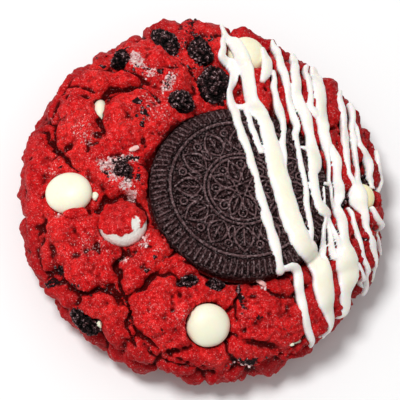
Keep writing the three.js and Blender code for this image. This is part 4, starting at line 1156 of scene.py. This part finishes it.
def chunk_material():
    sh = Shader("dark biscuit crumb")
    grain = sh.noise(0.8, roughness=0.75)
    crown = sh.attribute("crown")
    # Painted shade: the crumb's own dark tone runs darker where the grain bump is low.
    base = sh.ramp(grain, (0.42, (0.004, 0.001, 0.001)), (0.6, (0.085, 0.030, 0.033)))
    # Painted shade: near black in the pits and cracks, away from the grains' crowns.
    base = sh.mix(sh.ramp(crown, (0.1, 0.0), (0.8, 1.0)), (0.0008, 0.0003, 0.0003), base)
    # Painted sparkle: pale highlights on the grains' crowns.
    painted_sparkle = sh.ramp(sh.noise(0.42, 2.0), (0.54, 0.0), (0.64, 1.0))
    painted_sparkle = sh.maths("MULTIPLY", painted_sparkle, sh.ramp(crown, (0.45, 0.05), (0.95, 1.0)))
    colour = sh.mix(painted_sparkle, base, (0.72, 0.48, 0.50))
    red = sh.ramp(sh.maths("ADD", sh.attribute("red"), sh.noise(0.8, 2.0)), (1.04, 0.0), (1.13, 1.0))
    colour = sh.mix(red, colour, (0.48, 0.014, 0.02))
    normal = sh.bump(sh.noise(0.3), 0.3, after=sh.bump(grain, 0.8))
    return sh.finish(colour, normal=normal, roughness=0.35, specular_ior_level=0.05)


def pale_crumb_material():
    sh = Shader("pale sugary crumb")
    colour = sh.ramp(sh.noise(0.7), (0.35, (0.74, 0.34, 0.36)), (0.6, (0.88, 0.74, 0.70)))
    normal = sh.bump(sh.noise(0.3, 2.0), 0.2)
    return sh.finish(colour, normal=normal, roughness=0.4, specular_ior_level=0.25)


def red_crumb_material():
    sh = Shader("loose red crumb")
    colour, normal = red_crumb(sh)
    return sh.finish(colour, normal=normal, roughness=0.4, specular_ior_level=0.06)


# How far light goes into white chocolate, in metres.
LIGHT_DEPTH = 1.2 * MM


def drizzle_material():
    sh = Shader("set white chocolate drizzle")
    patch = sh.noise(6.0, 2.0)
    thick = sh.ramp(patch, (0.35, (0.90, 0.86, 0.69)), (0.65, (0.94, 0.91, 0.79)))
    colour = sh.mix(sh.attribute("thin"), thick, (0.92, 0.87, 0.85))
    normal = sh.bump(sh.noise(1.6, 2.0), 0.08, 0.5)
    return sh.finish(colour, normal=normal, roughness=0.34, specular_ior_level=0.4, subsurface_weight=0.3,
                     subsurface_scale=LIGHT_DEPTH)


def chip_material(name, first, second):
    sh = Shader(name)
    colour = sh.ramp(sh.noise(4.0, 2.0), (0.35, first), (0.65, second))
    normal = sh.bump(sh.noise(0.8, 2.0), 0.05, 0.4)
    return sh.finish(colour, normal=normal, roughness=0.42, specular_ior_level=0.4, subsurface_weight=0.2,
                     subsurface_scale=LIGHT_DEPTH)


def coated_material():
    """White chocolate that shows through a coat of red crumb."""
    sh = Shader("chip smeared with red crumb")
    crumb, normal = red_crumb(sh)
    blush = sh.ramp(sh.noise(1.8), (0.5, 0.0), (0.66, 0.6))
    crumb = sh.mix(blush, crumb, (1.0, 0.06, 0.06))
    coat = sh.blotches("coat", 0.7, 0.9, 0.3, 0.6, 2.0)
    colour = sh.mix(coat, (1.0, 0.97, 0.90), crumb)
    return sh.finish(colour, normal=normal, roughness=0.34, specular_ior_level=0.06)


# ---------------------------------------------------------------- the dressed cookie


def dress(piece, material, slot, *nodes):
    piece.data.materials.append(material)
    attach(piece, "root")
    if nodes:
        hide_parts(*nodes)
    return piece


dress(make_dough(), dough_material(), "dough", "dough")
dress(make_biscuit(), biscuit_material(), "dark_biscuit", "biscuit")
ivory = chip_material("white chocolate chip", (0.88, 0.86, 0.66), (0.90, 0.88, 0.70))
butter = chip_material("warm white chocolate chip", (1.0, 0.84, 0.46), (1.0, 0.88, 0.54))
cream = chip_material("creamy white chocolate chip", (0.92, 0.84, 0.56), (0.94, 0.90, 0.70))
FINISHES = {COATED_CHIP: coated_material(), "chip_right": butter, "chip_top": cream}
for chip in CHIPS:
    dress(make_chip(chip), FINISHES.get(chip, ivory), "white_chocolate", chip)
crumb = chunk_material()
for chunk in CHUNKS:
    dress(make_chunk(chunk), crumb, "dark_biscuit", chunk)
dress(make_drizzle(), drizzle_material(), "white_chocolate", "dough", "biscuit", "chip_top", "chip_right")
dress(make_crumbs("crumbs_dark", DARK_SMEARS, 1.5, 301), crumb, "dark_biscuit")
dress(make_crumbs("crumbs_pale", PALE_SMEARS, 1.1, 302), pale_crumb_material(), "white_chocolate")
loose = red_crumb_material()
dress(make_crumbs("crumbs_red", RED_CRUMBS, 1.0, 303), loose, "dough")
pink = chip_material("red stained white chocolate", (0.80, 0.36, 0.34), (0.88, 0.62, 0.56))
STUFF = {"white": (ivory, "white_chocolate"), "pink": (pink, "white_chocolate"), "dough": (loose, "dough")}
for name, (*shape, kind) in BITS.items():
    dress(make_bit(name, *shape), *STUFF[kind])

# ---------------------------------------------------------------- floor, light and camera

FLOOR_REACH = 3000.0
FLOOR_GREY = (0.93, 0.93, 0.93)
KEY_LIGHT = {"place": (-0.38, 0.12, 1.0), "size": 0.3, "power": 8.7}
SKY_STRENGTH = 0.43


def make_floor():
    corners = [(x * FLOOR_REACH, y * FLOOR_REACH, 0) for x, y in ((-1, -1), (1, -1), (1, 1), (-1, 1))]
    floor = make_mesh("floor", corners, [(0, 1, 2, 3)])
    sh = Shader("plain pale floor")
    floor.data.materials.append(sh.finish(FLOOR_GREY, roughness=0.9))


def add_light(name, place, size, power):
    light = bpy.data.lights.new(name, "AREA")
    light.shape = "DISK"
    light.size = size
    light.energy = power
    lamp = bpy.data.objects.new(name, light)
    lamp.location = place
    lamp.rotation_euler = (Vector((0, 0, 0.01)) - Vector(place)).to_track_quat("-Z", "Y").to_euler()
    bpy.context.scene.collection.objects.link(lamp)


def make_world():
    world = bpy.data.worlds.new("soft studio")
    world.use_nodes = True
    sky = world.node_tree.nodes["Background"].inputs
    sky["Color"].default_value = (1, 1, 1, 1)
    sky["Strength"].default_value = SKY_STRENGTH
    bpy.context.scene.world = world
    bpy.context.scene.view_settings.view_transform = "Standard"


def make_camera():
    """The photograph's view: 20 degrees off straight down, turned so that +Y is up in the picture."""
    azimuth, elevation, roll = math.radians(-25), math.radians(70), math.radians(-25)
    distance, target = 600 * MM, Vector((0, 0, 12 * MM))
    sensor, frame_pixels, focal_pixels = 36.0, 400, 2430.87
    shift_pixels = (3.6, -1.7)
    back = Vector((math.sin(azimuth) * math.cos(elevation), -math.cos(azimuth) * math.cos(elevation),
                   math.sin(elevation)))
    level = Vector((math.cos(azimuth), math.sin(azimuth), 0))
    upward = back.cross(level)
    right = math.cos(roll) * level - math.sin(roll) * upward
    up = math.sin(roll) * level + math.cos(roll) * upward
    camera = bpy.data.cameras.new("camera")
    camera.sensor_width = sensor
    camera.lens = focal_pixels / frame_pixels * sensor
    camera.shift_x = -shift_pixels[0] / frame_pixels
    camera.shift_y = shift_pixels[1] / frame_pixels
    camera.clip_start, camera.clip_end = 0.01, 10
    holder = bpy.data.objects.new("camera", camera)
    turn = Matrix((right, up, back)).transposed()
    holder.matrix_world = Matrix.Translation(target + back * distance) @ turn.to_4x4()
    bpy.context.scene.collection.objects.link(holder)
    bpy.context.scene.camera = holder


make_floor()
make_world()
add_light("key", **KEY_LIGHT)
make_camera()
